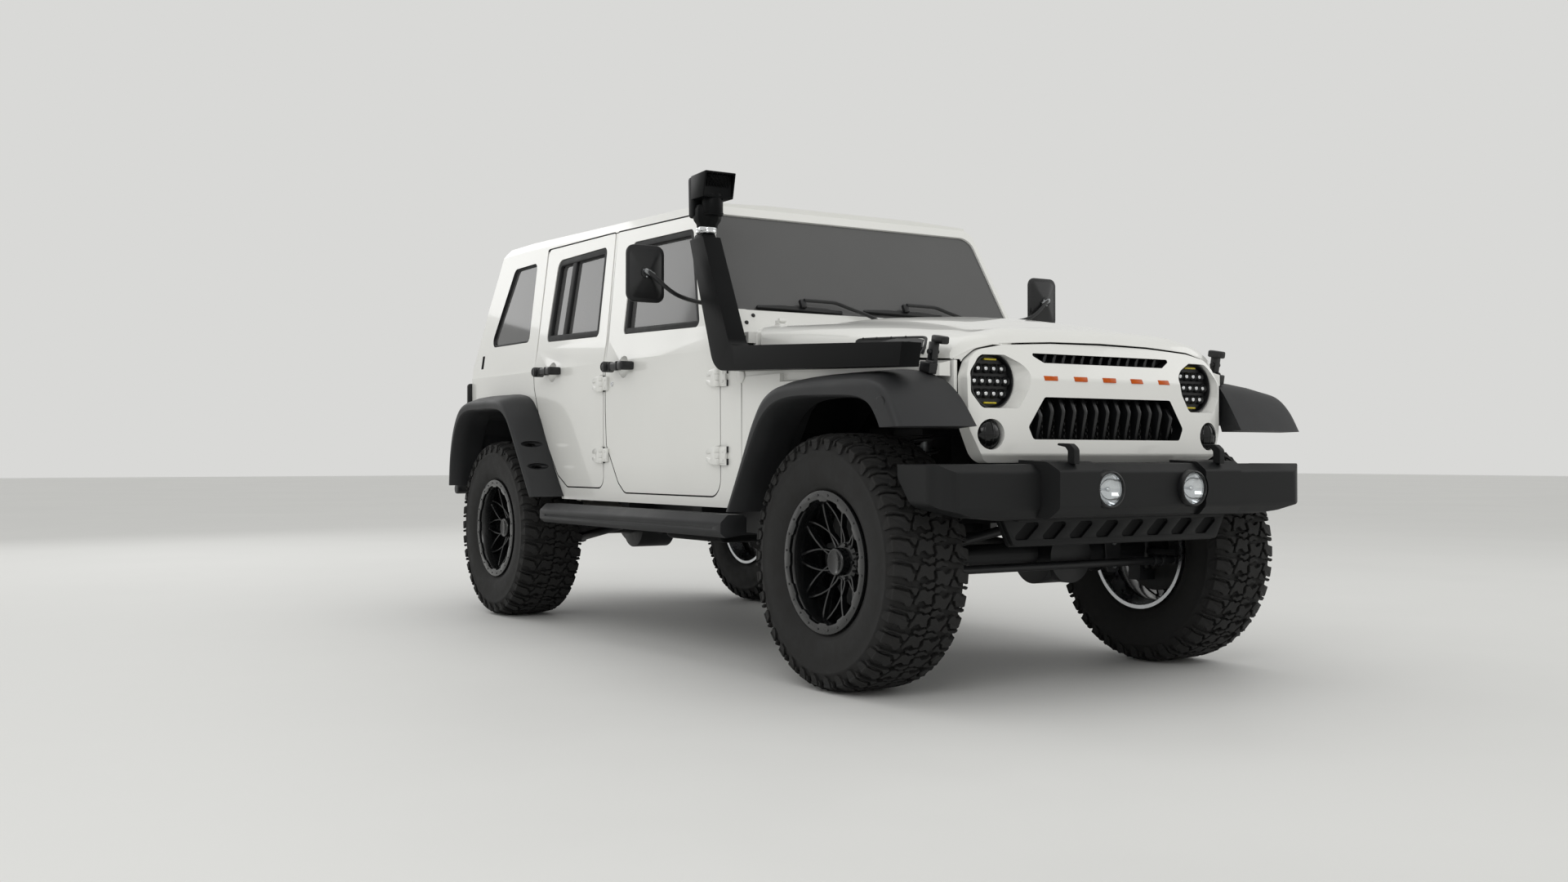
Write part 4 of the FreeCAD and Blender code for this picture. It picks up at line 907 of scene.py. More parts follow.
# Grille shell with slanted recesses round the headlamps.
lampPlaces = {"headY": 0.4675, "headZ": 1.035, "headRadius": 0.0915, "turnY": 0.505, "turnZ": 0.860,
    "turnRadius": 0.0495, "fogY": 0.191, "fogZ": 0.682}
recess = {"face": 2.125, "floor": 2.031, "low": 0.947, "high": 1.119,
    "outline": metres([(425, 1124), (325, 1075), (341, 1010), (385, 944), (550, 944), (584, 990), (585, 1060),
            (540, 1122)])}


# Lamp circle with a flat top and bottom.
def lampOutline(side, extra):
    spots = []
    for i in range(48):
        angle = 2 * pi * i / 48
        z = lampPlaces["headZ"] + (lampPlaces["headRadius"] + extra) * sin(angle)
        spots.append((side * (lampPlaces["headY"] + (lampPlaces["headRadius"] + extra) * cos(angle)),
                min(recess["high"], max(recess["low"], z))))
    return spots


def recessCutter(side):
    deselect()
    base = plate("recessBase", lampOutline(side, 0), 0, recess["floor"], recess["floor"] + 0.0002)
    edge = plate("recessEdge", [(side * y, z) for y, z in recess["outline"]], 0, recess["face"],
        recess["face"] + 0.02)
    cutter = joined([base, edge], "recessCutter")
    editAll(cutter)
    bpy.ops.mesh.convex_hull()
    objectMode()
    return facedOut(cutter)


grilleLook = {
    "side": [(1998, 767), (2068, 767, 8), (2094, 794, 16), (2092, 1045, 40), (2040, 1172, 20), (1998, 1172)],
    "half": [(530, 766, 70), (582, 880, 70), (586, 1050, 50), (566, 1102, 40), (528, 1136, 60), (430, 1154),
        (220, 1165), (0, 1168)],
    "opening": [(-291, 984, 14), (291, 984, 14), (359, 885, 14), (339, 844, 14), (-339, 844, 14),
        (-359, 885, 14)],
    "slit": [(-275, 1098, 6), (275, 1098, 6), (332, 1130, 6), (-332, 1130, 6)], "rounding": 0.005}
half = metres(grilleLook["half"])
whole = half + [(-point[0], *point[1:]) for point in reversed(half[:-1])]
shell = plate("grilleShell", rounded(whole, 8), 0, 1.950, 2.150)
profile = plate("grilleProfile", rounded(metres(grilleLook["side"]), 8), 1, -0.650, 0.650)
cutBy(shell, [profile], "INTERSECT")
cutters = [plate("openingCut", rounded(metres(grilleLook["opening"]), 4), 0, 1.95, 2.15),
    plate("slitCut", rounded(metres(grilleLook["slit"]), 3), 0, 1.95, 2.15),
    startBox("backCut", (1.900, -0.360, 0.830), (2.046, 0.360, 1.010))]
for side in (-1, 1):
    cutters.append(plate("lampCut", lampOutline(side, 0.0004), 0, 1.95, 2.15))
    spot = (side * lampPlaces["turnY"], lampPlaces["turnZ"])
    cutters.append(startRod("turnCut", (1.95, *spot), (2.15, *spot), lampPlaces["turnRadius"] + 0.0005, 48))
    cutters.append(recessCutter(side))
cutBy(shell, cutters)
sliced(shell, [(0, side * y, 1.0) for y, _ in hoodLook["fall"][1:-1] for side in (-1, 1)], (0, 1, 0))
moveVertices(shell, lambda co: fallen(co, 1.999, 2.030))
bevelled(shell, grilleLook["rounding"], 3, 24)
weighted(shell)
fit(shell, "body", "lacqueredPaint", ["grille_shell"])
painted(shell, "glassFilledNylon", lambda c, n: n.x < 0.35 and abs(c.y) < 0.3595
    and (0.843 < c.z < 0.985 or 1.097 < c.z < 1.131))

# Grille insert: lattice, upright vanes and the vanes of the upper slit.
vaneLook = {"pitch": 0.0505, "count": 13, "wide": 0.0085, "sideView": metres([(2040, 996), (2062, 992),
            (2080.5, 948), (2080, 938), (2060, 846), (2040, 838)])}
insertParts = [easedBox("insertBack", (2.0262, -0.359, 0.831), (2.030, 0.359, 1.0095), 0.001, 1)]
vane = plate("vane", vaneLook["sideView"], 1, -vaneLook["wide"], vaneLook["wide"])
moveVertices(vane, lambda co: (co.x, co.y * (0.62 + 0.38 * (co.z - 0.838) / 0.15), co.z))
bevelled(vane, 0.0015, 2, 30)
for i in range(vaneLook["count"]):
    y = (i - (vaneLook["count"] - 1) / 2) * vaneLook["pitch"]
    edge = 0.982 - max(0, (abs(y) - 0.285)) * 97 / 68
    squeeze = min(1.0, (edge - 0.842) / 0.15)
    twin = copied(vane, "vane" + str(i), Matrix.Translation((0, y, 0)))
    moveVertices(twin, lambda co: (co.x, co.y, 0.84 + (co.z - 0.84) * squeeze))
    insertParts.append(twin)
dropped([vane])
wire = startBox("latticeWire", (2.031, -0.0011, -0.14), (2.0335, 0.0011, 0.14))
for lean in (-1, 1):
    for i in range(-22, 23):
        turn = Matrix.Translation((0, i * 0.018, 0.917)) @ Matrix.Rotation(radians(lean * 32), 4, "X")
        twin = copied(wire, "latticeWire" + str(i), turn)
        moveVertices(twin, lambda co: (co.x, min(0.355, max(-0.355, co.y)), min(1.008, max(0.832, co.z))))
        insertParts.append(twin)
dropped([wire])
slitBack = bevelled(plate("slitBack", [(-0.274, 1.0985), (0.274, 1.0985), (0.330, 1.1295), (-0.330, 1.1295)],
        0, 2.012, 2.020), 0.001, 1)
insertParts.append(slitBack)
slat = plate("slat", metres([(-10, 1099), (2, 1099), (12, 1129), (0, 1129)]), 0, 2.018, 2.046)
bevelled(slat, 0.0012, 1)
for i in range(-6, 7):
    insertParts.append(copied(slat, "slat" + str(i), Matrix.Translation((0, i * 0.0425, 0))))
dropped([slat])
insert = joined(insertParts, "grilleVanes")
fit(insert, "body", "glassFilledNylon", ["grille_insert"])

# Amber marker lamps across the brow.
markerLook = {"spots": (-0.263, -0.131, 0.0, 0.131, 0.263), "z": 1.0465, "half": 0.0280, "tall": 0.0082}
markers = []
half, tall, z = markerLook["half"], markerLook["tall"], markerLook["z"]
for y in markerLook["spots"]:
    lean = -0.003 if y > 0 else 0.003
    shape = [(y - half, z - tall), (y + half, z - tall), (y + half + lean, z + tall),
        (y - half - 0.003, z + tall)]
    marker = plate("marker", shape, 0, 2.076, 2.0945)
    moveVertices(marker, lambda co: (co.x - (0.0055 if co.z > z else 0.0), co.y, co.z))
    markers.append(bevelled(marker, 0.002, 2))
markers = moveVertices(joined(markers, "markerLamps"), lambda co: fallen(co, 1.999, 2.030))
fit(markers, "body", "amberAcrylic")

# Headlamps: housing, thirteen small projectors and two light guides.
lampLook = {
    "rows": [(0.041, (-0.0495, -0.0165, 0.0165, 0.0495)), (0.0, (-0.066, -0.033, 0.0, 0.033, 0.066)),
        (-0.041, (-0.0495, -0.0165, 0.0165, 0.0495))], "guides": (-0.0715, 0.0715), "ribTurns": (-38, 0, 38),
    "housing": [(0.0, 0.0), (0.0908, 0.0), (0.0908, 0.022), (0.0895, 0.0245), (0.0862, 0.0235),
        (0.0835, 0.0120), (0.0815, 0.0050), (0.0, 0.0050)],
    "cup": metres([(16.5, 0), (16.5, 10), (14.5, 12.5), (10.5, 4), (0, 2), (0, 0)]),
    "bezel": [(0.0540, 0.020), (0.0600, 0.000), (0.0617, 0.004), (0.0617, 0.040), (0.0590, 0.0505),
        (0.0550, 0.0520), (0.0520, 0.0470), (0.0515, 0.030)],
    "bowl": metres([(52.5, 42), (45, 26), (33, 13), (18, 5), (9, 3), (0, 3), (0, 1), (20, 1.2), (54, 30)]),
    "lens": metres([(0, 49), (25, 48), (42, 45), (52.8, 40), (52.8, 42), (42, 47), (25, 50), (0, 51)])}
for word, side in paired.items():
    centre = Vector((2.006, side * lampPlaces["headY"], lampPlaces["headZ"]))
    housing = turned("housing", lampLook["housing"], centre, (1, 0, 0), 48)
    moveVertices(housing, lambda co: (co.x, co.y, min(recess["high"] - 0.001,
                max(recess["low"] + 0.001, co.z))))
    parts = [smooth(housing, 50)]
    domes = []
    for up, places in lampLook["rows"]:
        for across in places:
            spot = centre + Vector((0.005, across, up))
            parts.append(smooth(turned("cup", lampLook["cup"], spot, (1, 0, 0), 12), 50))
            dome = startBall("dome", spot + Vector((0.003, 0, 0)), 0.0098, 8, 14)
            moveVertices(dome, lambda co: (spot.x + 0.003 + (co.x - spot.x - 0.003) * 0.9, co.y, co.z))
            domes.append(smooth(dome, 60))
    fit(joined(parts, word + "HeadlampHousing"), "body", "glassFilledNylon")
    fit(joined(domes, word + "HeadlampProjectors"), "body", "chromePlate")
    guides = [easedBox("guide", centre + Vector((0.006, -0.026, up - 0.0032)),
            centre + Vector((0.015, 0.026, up + 0.0032)), 0.002, 2) for up in lampLook["guides"]]
    fit(joined(guides, word + "HeadlampGuides"), "body", "yellowAcrylic")

    # Turn lamps behind ribbed smoked lenses.
    centre = Vector((2.051, side * lampPlaces["turnY"], lampPlaces["turnZ"]))
    lens = startBall("turnLens", centre, 0.0480, 16, 28)
    parts = [smooth(lens, 60)]
    for angle in lampLook["ribTurns"]:
        rib = startRing("turnRib", centre, (sin(radians(angle + 90)), cos(radians(angle + 90)), 0), 0.0478,
            0.0028, 40, 8)
        rib.data.transform(Matrix.Translation(centre) @ Matrix.Rotation(radians(90), 4, "Z")
            @ Matrix.Translation(-centre))
        parts.append(rib)
    parts.append(startRing("turnRim", centre + Vector((0.006, 0, 0)), (1, 0, 0), 0.0468, 0.0030, 40, 8))
    lamp = joined(parts, word + "TurnLamp")
    moveVertices(lamp, lambda co: (centre.x + (co.x - centre.x) * 0.62, co.y, co.z))
    fit(lamp, "body", "smokedAcrylic")

    # Fog lamps: bezel, spun reflector, bulb cap and clear lens.
    centre = Vector((2.242, side * lampPlaces["fogY"], lampPlaces["fogZ"]))
    bezel = turned("bezel", lampLook["bezel"], centre, (1, 0, 0), 48)
    fit(smooth(bezel, 50), "body", "glassFilledNylon").name = word + "FogBezel"
    bowl = turned("bowl", lampLook["bowl"], centre, (1, 0, 0), 48)
    cap = startBall("bulbCap", centre + Vector((0.030, 0, 0)), 0.0085, 10, 16)
    stem = startRod("bulbStem", centre + Vector((0.002, 0, 0)), centre + Vector((0.030, 0, 0)), 0.0045, 12)
    fit(joined([smooth(bowl, 60), smooth(cap, 60), bevelled(stem, 0.0005, 1)], word + "FogReflector"), "body",
        "chromePlate")
    glass = turned("fogLens", lampLook["lens"], centre, (1, 0, 0), 40)
    fit(smooth(glass, 60), "body", "clearLens").name = word + "FogLens"
for word in paired:
    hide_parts("front_lamps")

# Slotted air dam in front of the valance plate.
damLook = {"slots": 8, "pitch": 0.118, "lean": 0.030}
dam = plate("airDam", rounded(metres([(-515, 588), (515, 588), (468, 500, 20), (-468, 500, 20)])), 0, 2.1185,
    2.136)
slotCutters = []
for i in range(damLook["slots"]):
    y = (i - (damLook["slots"] - 1) / 2) * damLook["pitch"]
    lean = damLook["lean"]
    outline = rounded([(y - 0.034 - lean, 0.520, 0.008), (y + 0.030 - lean, 0.520, 0.008),
            (y + 0.034 + lean, 0.575, 0.008), (y - 0.030 + lean, 0.575, 0.008)], 3)
    slotCutters.append(plate("damSlot", outline, 0, 2.124, 2.150))
cutBy(dam, slotCutters)
bevelled(dam, 0.002, 2, 30)
fit(dam, "body", "texturedPowderCoat")
# The floors of the shallow slots get the near-black duct finish: painted shade, so the slots read as dark
# openings.
painted(dam, "mouldedPolyethylene", lambda c, n: c.x < 2.1255 and n.x > 0.9)

# Hood latches on the front corners.
for word, side in paired.items():
    parts = [easedBox("latchBase", (1.930, side * 0.640, 1.058), (1.985, side * 0.690, 1.094), 0.004, 2),
        easedBox("latchLink", (1.944, side * 0.646, 1.090), (1.970, side * 0.672, 1.160), 0.003, 2),
        easedBox("latchHandle", (1.940, side * 0.630, 1.156), (2.000, side * 0.662, 1.182), 0.006, 2),
        easedRod("latchPin", (1.957, side * 0.640, 1.128), (1.957, side * 0.680, 1.128), 0.009, 16, 0.001, 1),
        easedRod("latchPivot", (1.940, side * 0.664, 1.092), (1.978, side * 0.664, 1.092), 0.011, 16, 0.001,
            1)]
    tilt = Matrix.Translation((1.957, 0, 1.09)) @ Matrix.Rotation(radians(10), 4, "Y")
    latch = joined(parts, word + "HoodLatch")
    latch.data.transform(tilt @ Matrix.Translation((-1.957, 0, -1.09)))
    fit(latch, "body", "glassFilledNylon")
print("front done")

# Wheel arch flares: stations of lip, outer edge (x, z) and body edge (x, y, z) in mm.
flareTables = {
    "front": {"inside": 0.762, "stations": [((1118, 588), (1090, 588), (1050, 762, 588)),
            ((1180, 690), (1150, 690), (1104, 762, 700)), ((1249, 800), (1212, 802), (1166, 762, 815)),
            ((1312, 890), (1272, 912), (1226, 762, 930)), ((1372, 944), (1338, 988), (1304, 762, 1016)),
            ((1450, 976), (1430, 1025), (1410, 762, 1058)), ((1569, 987), (1569, 1033), (1569, 760, 1070)),
            ((1740, 984), (1741, 1036), (1740, 742, 1073)), ((1880, 978), (1900, 1032), (1872, 714, 1073)),
            ((1945, 966), (1984, 1024), (1945, 676, 1062)), ((1985, 945), (2044, 1001), (2004, 644, 1034)),
            ((2015, 912), (2094, 950), (2060, 624, 978)), ((2037, 878), (2134, 880), (2126, 612, 884))]},
    "rear": {"inside": 0.768, "stations": [((-724, 603), (-701, 603), (-694, 768, 603)),
            ((-790, 690), (-762, 682), (-756, 768, 678)), ((-864, 788), (-832, 775), (-826, 768, 768)),
            ((-950, 900), (-914, 888), (-908, 768, 880)), ((-1022, 974), (-992, 985), (-984, 768, 990)),
            ((-1106, 1012), (-1090, 1052), (-1074, 768, 1070)),
            ((-1212, 1022), (-1212, 1068), (-1200, 768, 1098)),
            ((-1380, 1022), (-1380, 1068), (-1380, 768, 1103)),
            ((-1536, 1020), (-1548, 1066), (-1556, 768, 1100)),
            ((-1636, 990), (-1668, 1028), (-1692, 768, 1058)),
            ((-1710, 908), (-1750, 925), (-1784, 768, 945)), ((-1758, 780), (-1792, 785), (-1824, 768, 795)),
            ((-1775, 640), (-1804, 640), (-1836, 768, 640))]},
    }
flareEdge = {"outer": 0.932, "radius": 0.026, "steps": 5}


def makeFlare(name, table):
    lines = [through([[v / 1000 for v in station[k]] + [0] * (3 - len(station[k]))
                for station in table["stations"]], 5) for k in range(3)]
    rings = []
    for lip, edge, back in zip(*lines):
        lip3 = Vector((lip.x, flareEdge["outer"], lip.y))
        edge3 = Vector((edge.x, flareEdge["outer"], edge.y))
        down, inward = (lip3 - edge3).normalized(), (back - edge3).normalized()
        reach = min(flareEdge["radius"], (lip3 - edge3).length * 0.55)
        ring = [lip3 + (edge3 - lip3).normalized() * 0.006]
        for step in range(flareEdge["steps"] + 1):
            t = step / flareEdge["steps"]
            a, c = edge3 + down * reach, edge3 + inward * reach
            ring.append((1 - t) ** 2 * a + 2 * t * (1 - t) * edge3 + t ** 2 * c)
        bulge = down.cross(inward).cross(inward).normalized()
        for t, lift in ((0.4, 0.006), (0.7, 0.005), (1.0, 0.0)):
            ring.append(edge3.lerp(back, t) - bulge * lift * (1 if bulge.dot(down) > 0 else -1))
        inside = Vector((lip.x, min(table["inside"], back.y), lip.y))
        ring.append(inside.lerp(back, 0.5))
        ring.append(inside)
        ring.append(lip3.lerp(inside, 0.5))
        ring.append(lip3 + (inside - lip3).normalized() * 0.008)
        rings.append(ring)
    return smooth(lofted(name, rings), 45)


flareMasters = {word: makeFlare(word + "Flare", table) for word, table in flareTables.items()}
slots = []
for x, z in ((-0.800, 0.745), (-0.880, 0.850)):
    slotBall = startBall("flareSlot", (0, 0, 0), 1.0, 12, 24)
    slotBall.data.transform(Matrix.Translation((x, 0.850, z)) @ Matrix.Diagonal((0.034, 0.056, 0.016, 1)))
    slots.append(slotBall)
cutBy(flareMasters["rear"], slots)
smooth(flareMasters["rear"], 45)
marker = turned("marker", metres([(0, 0), (26.5, 0), (26.5, 4), (23.5, 5.2), (22, 4), (0, 4.8)]),
    (2.044, 0.9285, 0.950), (0, 1, 0), 32)
smooth(marker, 50)
for word, side in paired.items():
    mirror = sideFlips[word]
    pair = [copied(master, word + kind.title(), mirror) for kind, master in flareMasters.items()]
    fit(joined(pair, word + "Flares"), "body", "grainedPolypropylene")
    disc = copied(marker, word + "SideMarker", mirror)
    disc.data.transform(Matrix.Translation((0, -0.0016 * side, 0)))
    fit(disc, "body", "smokedAcrylic")
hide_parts("fender_flares")
dropped([*flareMasters.values(), marker])
print("flares done")

# Side line of the body: half width at a height.
sideLine = metres([(540, 765), (1206, 768), (1310, 748), (1800, 684), (1850, 678)])


def sideAt(z):
    return between(sideLine, z)


def draped(piece):
    return moveVertices(piece, lambda co: (co.x, sideAt(co.z) + co.y, co.z))


# Doors: painted skin with a round cup behind the handle, dark inside.
handleSpots = {"front": (-0.058, 1.180), "rear": (-0.822, 1.194)}
cupLook = {"ball": 0.060, "away": 0.034, "behind": 0.010}
windowTables = {
    "front": [(576, 1306, 25), (426, 1722, 35), (-126, 1732, 30), (-117, 1324, 25)],
    "rear": [(-368, 1331, 25), (-385, 1744, 35), (-927, 1740, 50), (-959, 1344, 30)],
    "quarter": [(-1176, 1358, 30), (-1183, 1757, 35), (-1469, 1754, 45), (-1692, 1361, 40)]}
for word, side in paired.items():
    for kind, (x, z) in handleSpots.items():
        nodeName = kind + "_door_" + word
        door = nodeCopy(nodeName, nodeName + "Shell")
        cup = (x - cupLook["behind"], side * (sideAt(z) + cupLook["away"]), z)
        cutBy(door, [startBall("cup", cup, cupLook["ball"], 24, 40)])
        fit(weighted(bevelled(door, 0.0035, 3, 25)), nodeName, "lacqueredPaint", [nodeName])
        painted(door, "dashboardSkin", lambda c, n: n.y * side < -0.3 and abs(c.y) < 0.745)

# Window seals, with the glass run of the rear doors.
sealLook = {"wide": {"front": 0.026, "rear": 0.030, "quarter": 0.010}, "deep": (-0.022, -0.003),
    "run": [(-0.790, 1.345), (-0.762, 1.735), (-0.722, 1.735), (-0.750, 1.345)], "runDeep": (-0.020, -0.006)}


def makeSeal(kind):
    table = metres(windowTables[kind])
    seal = plate("seal", rounded(shrunk(table, 0.0005), 6), 1, *sealLook["deep"])
    cutBy(seal, [plate("sealHole", rounded(shrunk(table, sealLook["wide"][kind]), 6), 1, -0.1, 0.1)])
    parts = [bevelled(seal, 0.005, 2, 40)]
    if kind == "rear":
        parts.append(bevelled(plate("glassRun", rounded(sealLook["run"]), 1, *sealLook["runDeep"]), 0.003, 2))
    return draped(joined(parts, kind + "Seal"))


# Door handles: grip with ribs, feet and push button; the lock and the aerial's cap are turned.
handleLook = {
    "boxes": [("grip", (-0.090, 0.038, -0.017), (0.088, 0.060, 0.016), 0.007, 3),
        ("frontFoot", (0.048, 0.0, -0.019), (0.092, 0.064, 0.018), 0.008, 3),
        ("rearFoot", (-0.085, 0.0, -0.015), (-0.052, 0.050, 0.014), 0.005, 2)],
    "house": ("buttonHouse", (-0.076, 0.020, 0), (-0.076, 0.069, 0), 0.0235, 32, 0.003, 2),
    "ribs": [("gripRib", (-0.040, 0.034, -0.020), (-0.030, 0.063, 0.019), 0.004, 2),
        ("gripRib", (0.030, 0.034, -0.020), (0.040, 0.063, 0.019), 0.004, 2)],
    "ring": metres([(14, 66), (14.5, 72), (18.5, 72.5), (19.5, 66)]), "ringX": -0.076,
    "button": ("button", (-0.076, 0.05, 0), (-0.076, 0.0715, 0), 0.0125, 24, 0.002, 2),
    "lock": metres([(0, 1), (3.5, 1), (4, 3.5), (10, 3.5), (11.5, 1.5), (11.5, -2), (0, -2)]),
    "lockPlace": (-0.182, 1.109),
    "cap": metres([(0, 3.5), (26, 3), (28.5, 1.8), (29, -2), (0, -2)]),
    "capPlace": (0.924, 1.094)}


def makeHandle():
    parts = [easedBox(*row) for row in handleLook["boxes"]] + [easedRod(*handleLook["house"])]
    parts += [easedBox(*row) for row in handleLook["ribs"]]
    ring = turned("buttonRing", handleLook["ring"], (handleLook["ringX"], 0, 0), (0, 1, 0), 32)
    return joined(parts + [smooth(ring), easedRod(*handleLook["button"])], "handle")


# Place on the body's side at x and z, sunk by a little.
def onSide(word, x, z, sunk=0.0):
    return sideFlips[word] @ Matrix.Translation((x, sideAt(z) - sunk, z))


handle = makeHandle()
lock = smooth(turned("lock", handleLook["lock"], (0, 0, 0), (0, 1, 0), 24))
capDisc = smooth(turned("capDisc", handleLook["cap"], (0, 0, 0), (0, 1, 0), 40))
seals = {kind: makeSeal(kind) for kind in windowTables}
for word, side in paired.items():
    for kind, seal in seals.items():
        body = "body" if kind == "quarter" else kind + "_door_" + word
        fit(copied(seal, body + kind.title() + word.title() + "Seal", sideFlips[word]), body,
            "sealRubber")
    for kind, (x, z) in handleSpots.items():
        fit(copied(handle, word + kind.title() + "Handle", onSide(word, x, z, 0.001)), kind + "_door_" + word,
            "glassFilledNylon")
    place = onSide(word, *handleLook["lockPlace"])
    fit(copied(lock, word + "DoorLock", place), "front_door_" + word, "chromePlate")
fit(copied(capDisc, "aerialCap", onSide("right", *handleLook["capPlace"])), "body",
    "lacqueredPaint")

# Painted strip of the middle pillar between the doors.
pillarLook = {"outline": [(-0.2713, 1.210), (-0.2513, 1.210), (-0.2584, 1.310), (-0.2930, 1.796),
        (-0.3130, 1.796), (-0.2784, 1.310)], "deep": (-0.027, -0.002)}
for word, side in paired.items():
    strip = draped(plate("pillarStrip", pillarLook["outline"], 1, *pillarLook["deep"]))
    if side < 0:
        flipped(strip)
    fit(bevelled(strip, 0.002, 2), "body", "lacqueredPaint").name = word + "PillarStrip"

# Cast strap hinges over the leaves of the doors.
hingeLook = {"axes": {"front": (0.772, 0.777, (1.095, 0.792)), "rear": (-0.271, 0.777, (1.113, 0.796))},
    "strap": metres([(-94, 6, 4), (-94, 20, 4), (-60, 31, 4), (-18, 36, 4), (-18, -36, 4), (-60, -31, 4),
            (-94, -20, 4), (-94, -6, 4), (-52, -10, 4), (-52, 10, 4)]),
    "eyes": (-0.024, 0.024), "eyeHalf": 0.0115, "screws": (-0.017, 0.017)}


def makeHinge(x, y, z):
    half = hingeLook["eyeHalf"]
    outline = rounded([(x + a, z + b, r) for a, b, r in hingeLook["strap"]], 3)
    strap = plate("strap", outline, 1, y - 0.010, y + 0.0045)
    moveVertices(strap, lambda co: (co.x, co.y - (0.004 if co.x < x - 0.07 and co.y > y else 0), co.z))
    straps = [bevelled(strap, 0.0028, 2, 30)]
    for up in hingeLook["eyes"]:
        straps += [easedRod("hingeEye", (x, y, z + up - half), (x, y, z + up + half), 0.0125, 24, 0.002, 2),
            easedBox("hingeWeb", (x - 0.022, y - 0.006, z + up - 0.011),
                (x - 0.004, y + 0.006, z + up + 0.011), 0.002, 1)]
    leaves = [easedRod("hingeEye", (x, y, z - half), (x, y, z + half), 0.0120, 24, 0.002, 2),
        easedBox("fixedLeaf", (x + 0.006, y - 0.010, z - 0.030), (x + 0.056, y + 0.002, z + 0.030), 0.003, 2),
        easedRod("hingeCap", (x, y, z + 0.0365), (x, y, z + 0.0395), 0.0085, 16, 0.001, 1)]
    leaves += [easedRod("hingeScrew", (x + 0.038, y + 0.001, z + up), (x + 0.038, y + 0.0045, z + up), 0.0062,
            12, 0.0015, 1) for up in hingeLook["screws"]]
    return straps, leaves


for word, side in paired.items():
    for kind, (x, y, levels) in hingeLook["axes"].items():
        straps, leaves = [], []
        for z in levels:
            moving, fixed = makeHinge(x, y, z)
            straps, leaves = straps + moving, leaves + fixed
        for name, parts, body in (("Straps", straps, kind + "_door_" + word),
                ("HingeLeaves", leaves, "body")):
            piece = joined(parts, word + kind.title() + name)
            if side < 0:
                flipped(piece)
            fit(piece, body, "lacqueredPaint")

# Mirrors: framed head with a faceted back, clamp, bent arm and glass.
mirrorLook = {"head": metres([(936, 1384, 34), (1098.5, 1384, 34), (1098.5, 1606, 34), (936, 1606, 34)]),
    "centre": (1.022, 1.497), "peak": (0.20, 0.16), "armRadius": 0.0085,
    "arm": metres([(656, 1020, 1499), (664, 1000, 1484), (670, 960, 1448), (672, 905, 1412), (664, 830, 1397),
            (656, 780, 1392), (650, 745, 1390)]),
    "foot": ((0.634, 0.738, 1.376), (0.668, 0.758, 1.404)),
    "clamp": metres([(996, 1476, 6), (1040, 1496, 12), (1034, 1516, 12), (988, 1494, 6)]),
    "screwTurns": (0.6, 2.7, 4.8), "screwRing": 0.016}


def makeMirror():
    head, (across, up), (flatY, flatZ) = mirrorLook["head"], mirrorLook["centre"], mirrorLook["peak"]
    frameRing = bevelled(plate("mirrorFrame", rounded(head, 7), 0, 0.6165, 0.630), 0.004, 3, 40)
    cutBy(frameRing, [plate("pocket", rounded(shrunk(head, 0.009), 7), 0, 0.60, 0.6205)])
    back = plate("mirrorBack", rounded(shrunk(head, 0.007), 5), 0, 0.628, 0.648)
    moveVertices(back, lambda co: (co.x, across + (co.y - across) * flatY, up + (co.z - up) * flatZ)
        if co.x > 0.64 else co)
    bevelled(back, 0.002, 2, 12)
    boss = easedRod("boss", (0.645, across, up), (0.6505, across, up), 0.024, 32, 0.0015, 2)
    arm = tubed("mirrorArm", mirrorLook["arm"], mirrorLook["armRadius"], 4, 4)
    foot = easedBox("armFoot", *mirrorLook["foot"], 0.004, 2)
    clampPlate = plate("clampPlate", rounded(mirrorLook["clamp"]), 0, 0.650, 0.662)
    ring = mirrorLook["screwRing"]
    screws = [startBall("mirrorScrew", (0.6505, across + ring * cos(a), up + ring * sin(a)), 0.0042, 8, 12)
        for a in mirrorLook["screwTurns"]]
    screws.append(startBall("mirrorScrew", (0.662, 1.026, 1.505), 0.0050, 8, 12))
    glass = plate("mirrorGlass", rounded(shrunk(head, 0.0095), 7), 0, 0.6175, 0.6200)
    return (joined([frameRing, smooth(back, 20), boss, arm, foot], "mirrorBody"),
        joined([bevelled(clampPlate, 0.004, 2)] + screws, "mirrorClamp"), glass)


mirrorParts = makeMirror()
mirrorFits = (("MirrorHead", "black_plastic", "glassFilledNylon"), ("MirrorClamp", "steel", "zincPlate"),
    ("MirrorGlass", "glass", "mirrorGlass"))
for word in paired:
    for part, (name, slot, finish) in zip(mirrorParts, mirrorFits):
        twin = fit(copied(part, word + name, sideFlips[word]), "front_door_" + word, finish)
        if name == "MirrorHead":
            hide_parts("mirror_" + word)
dropped([handle, lock, capDisc, *seals.values(), *mirrorParts])

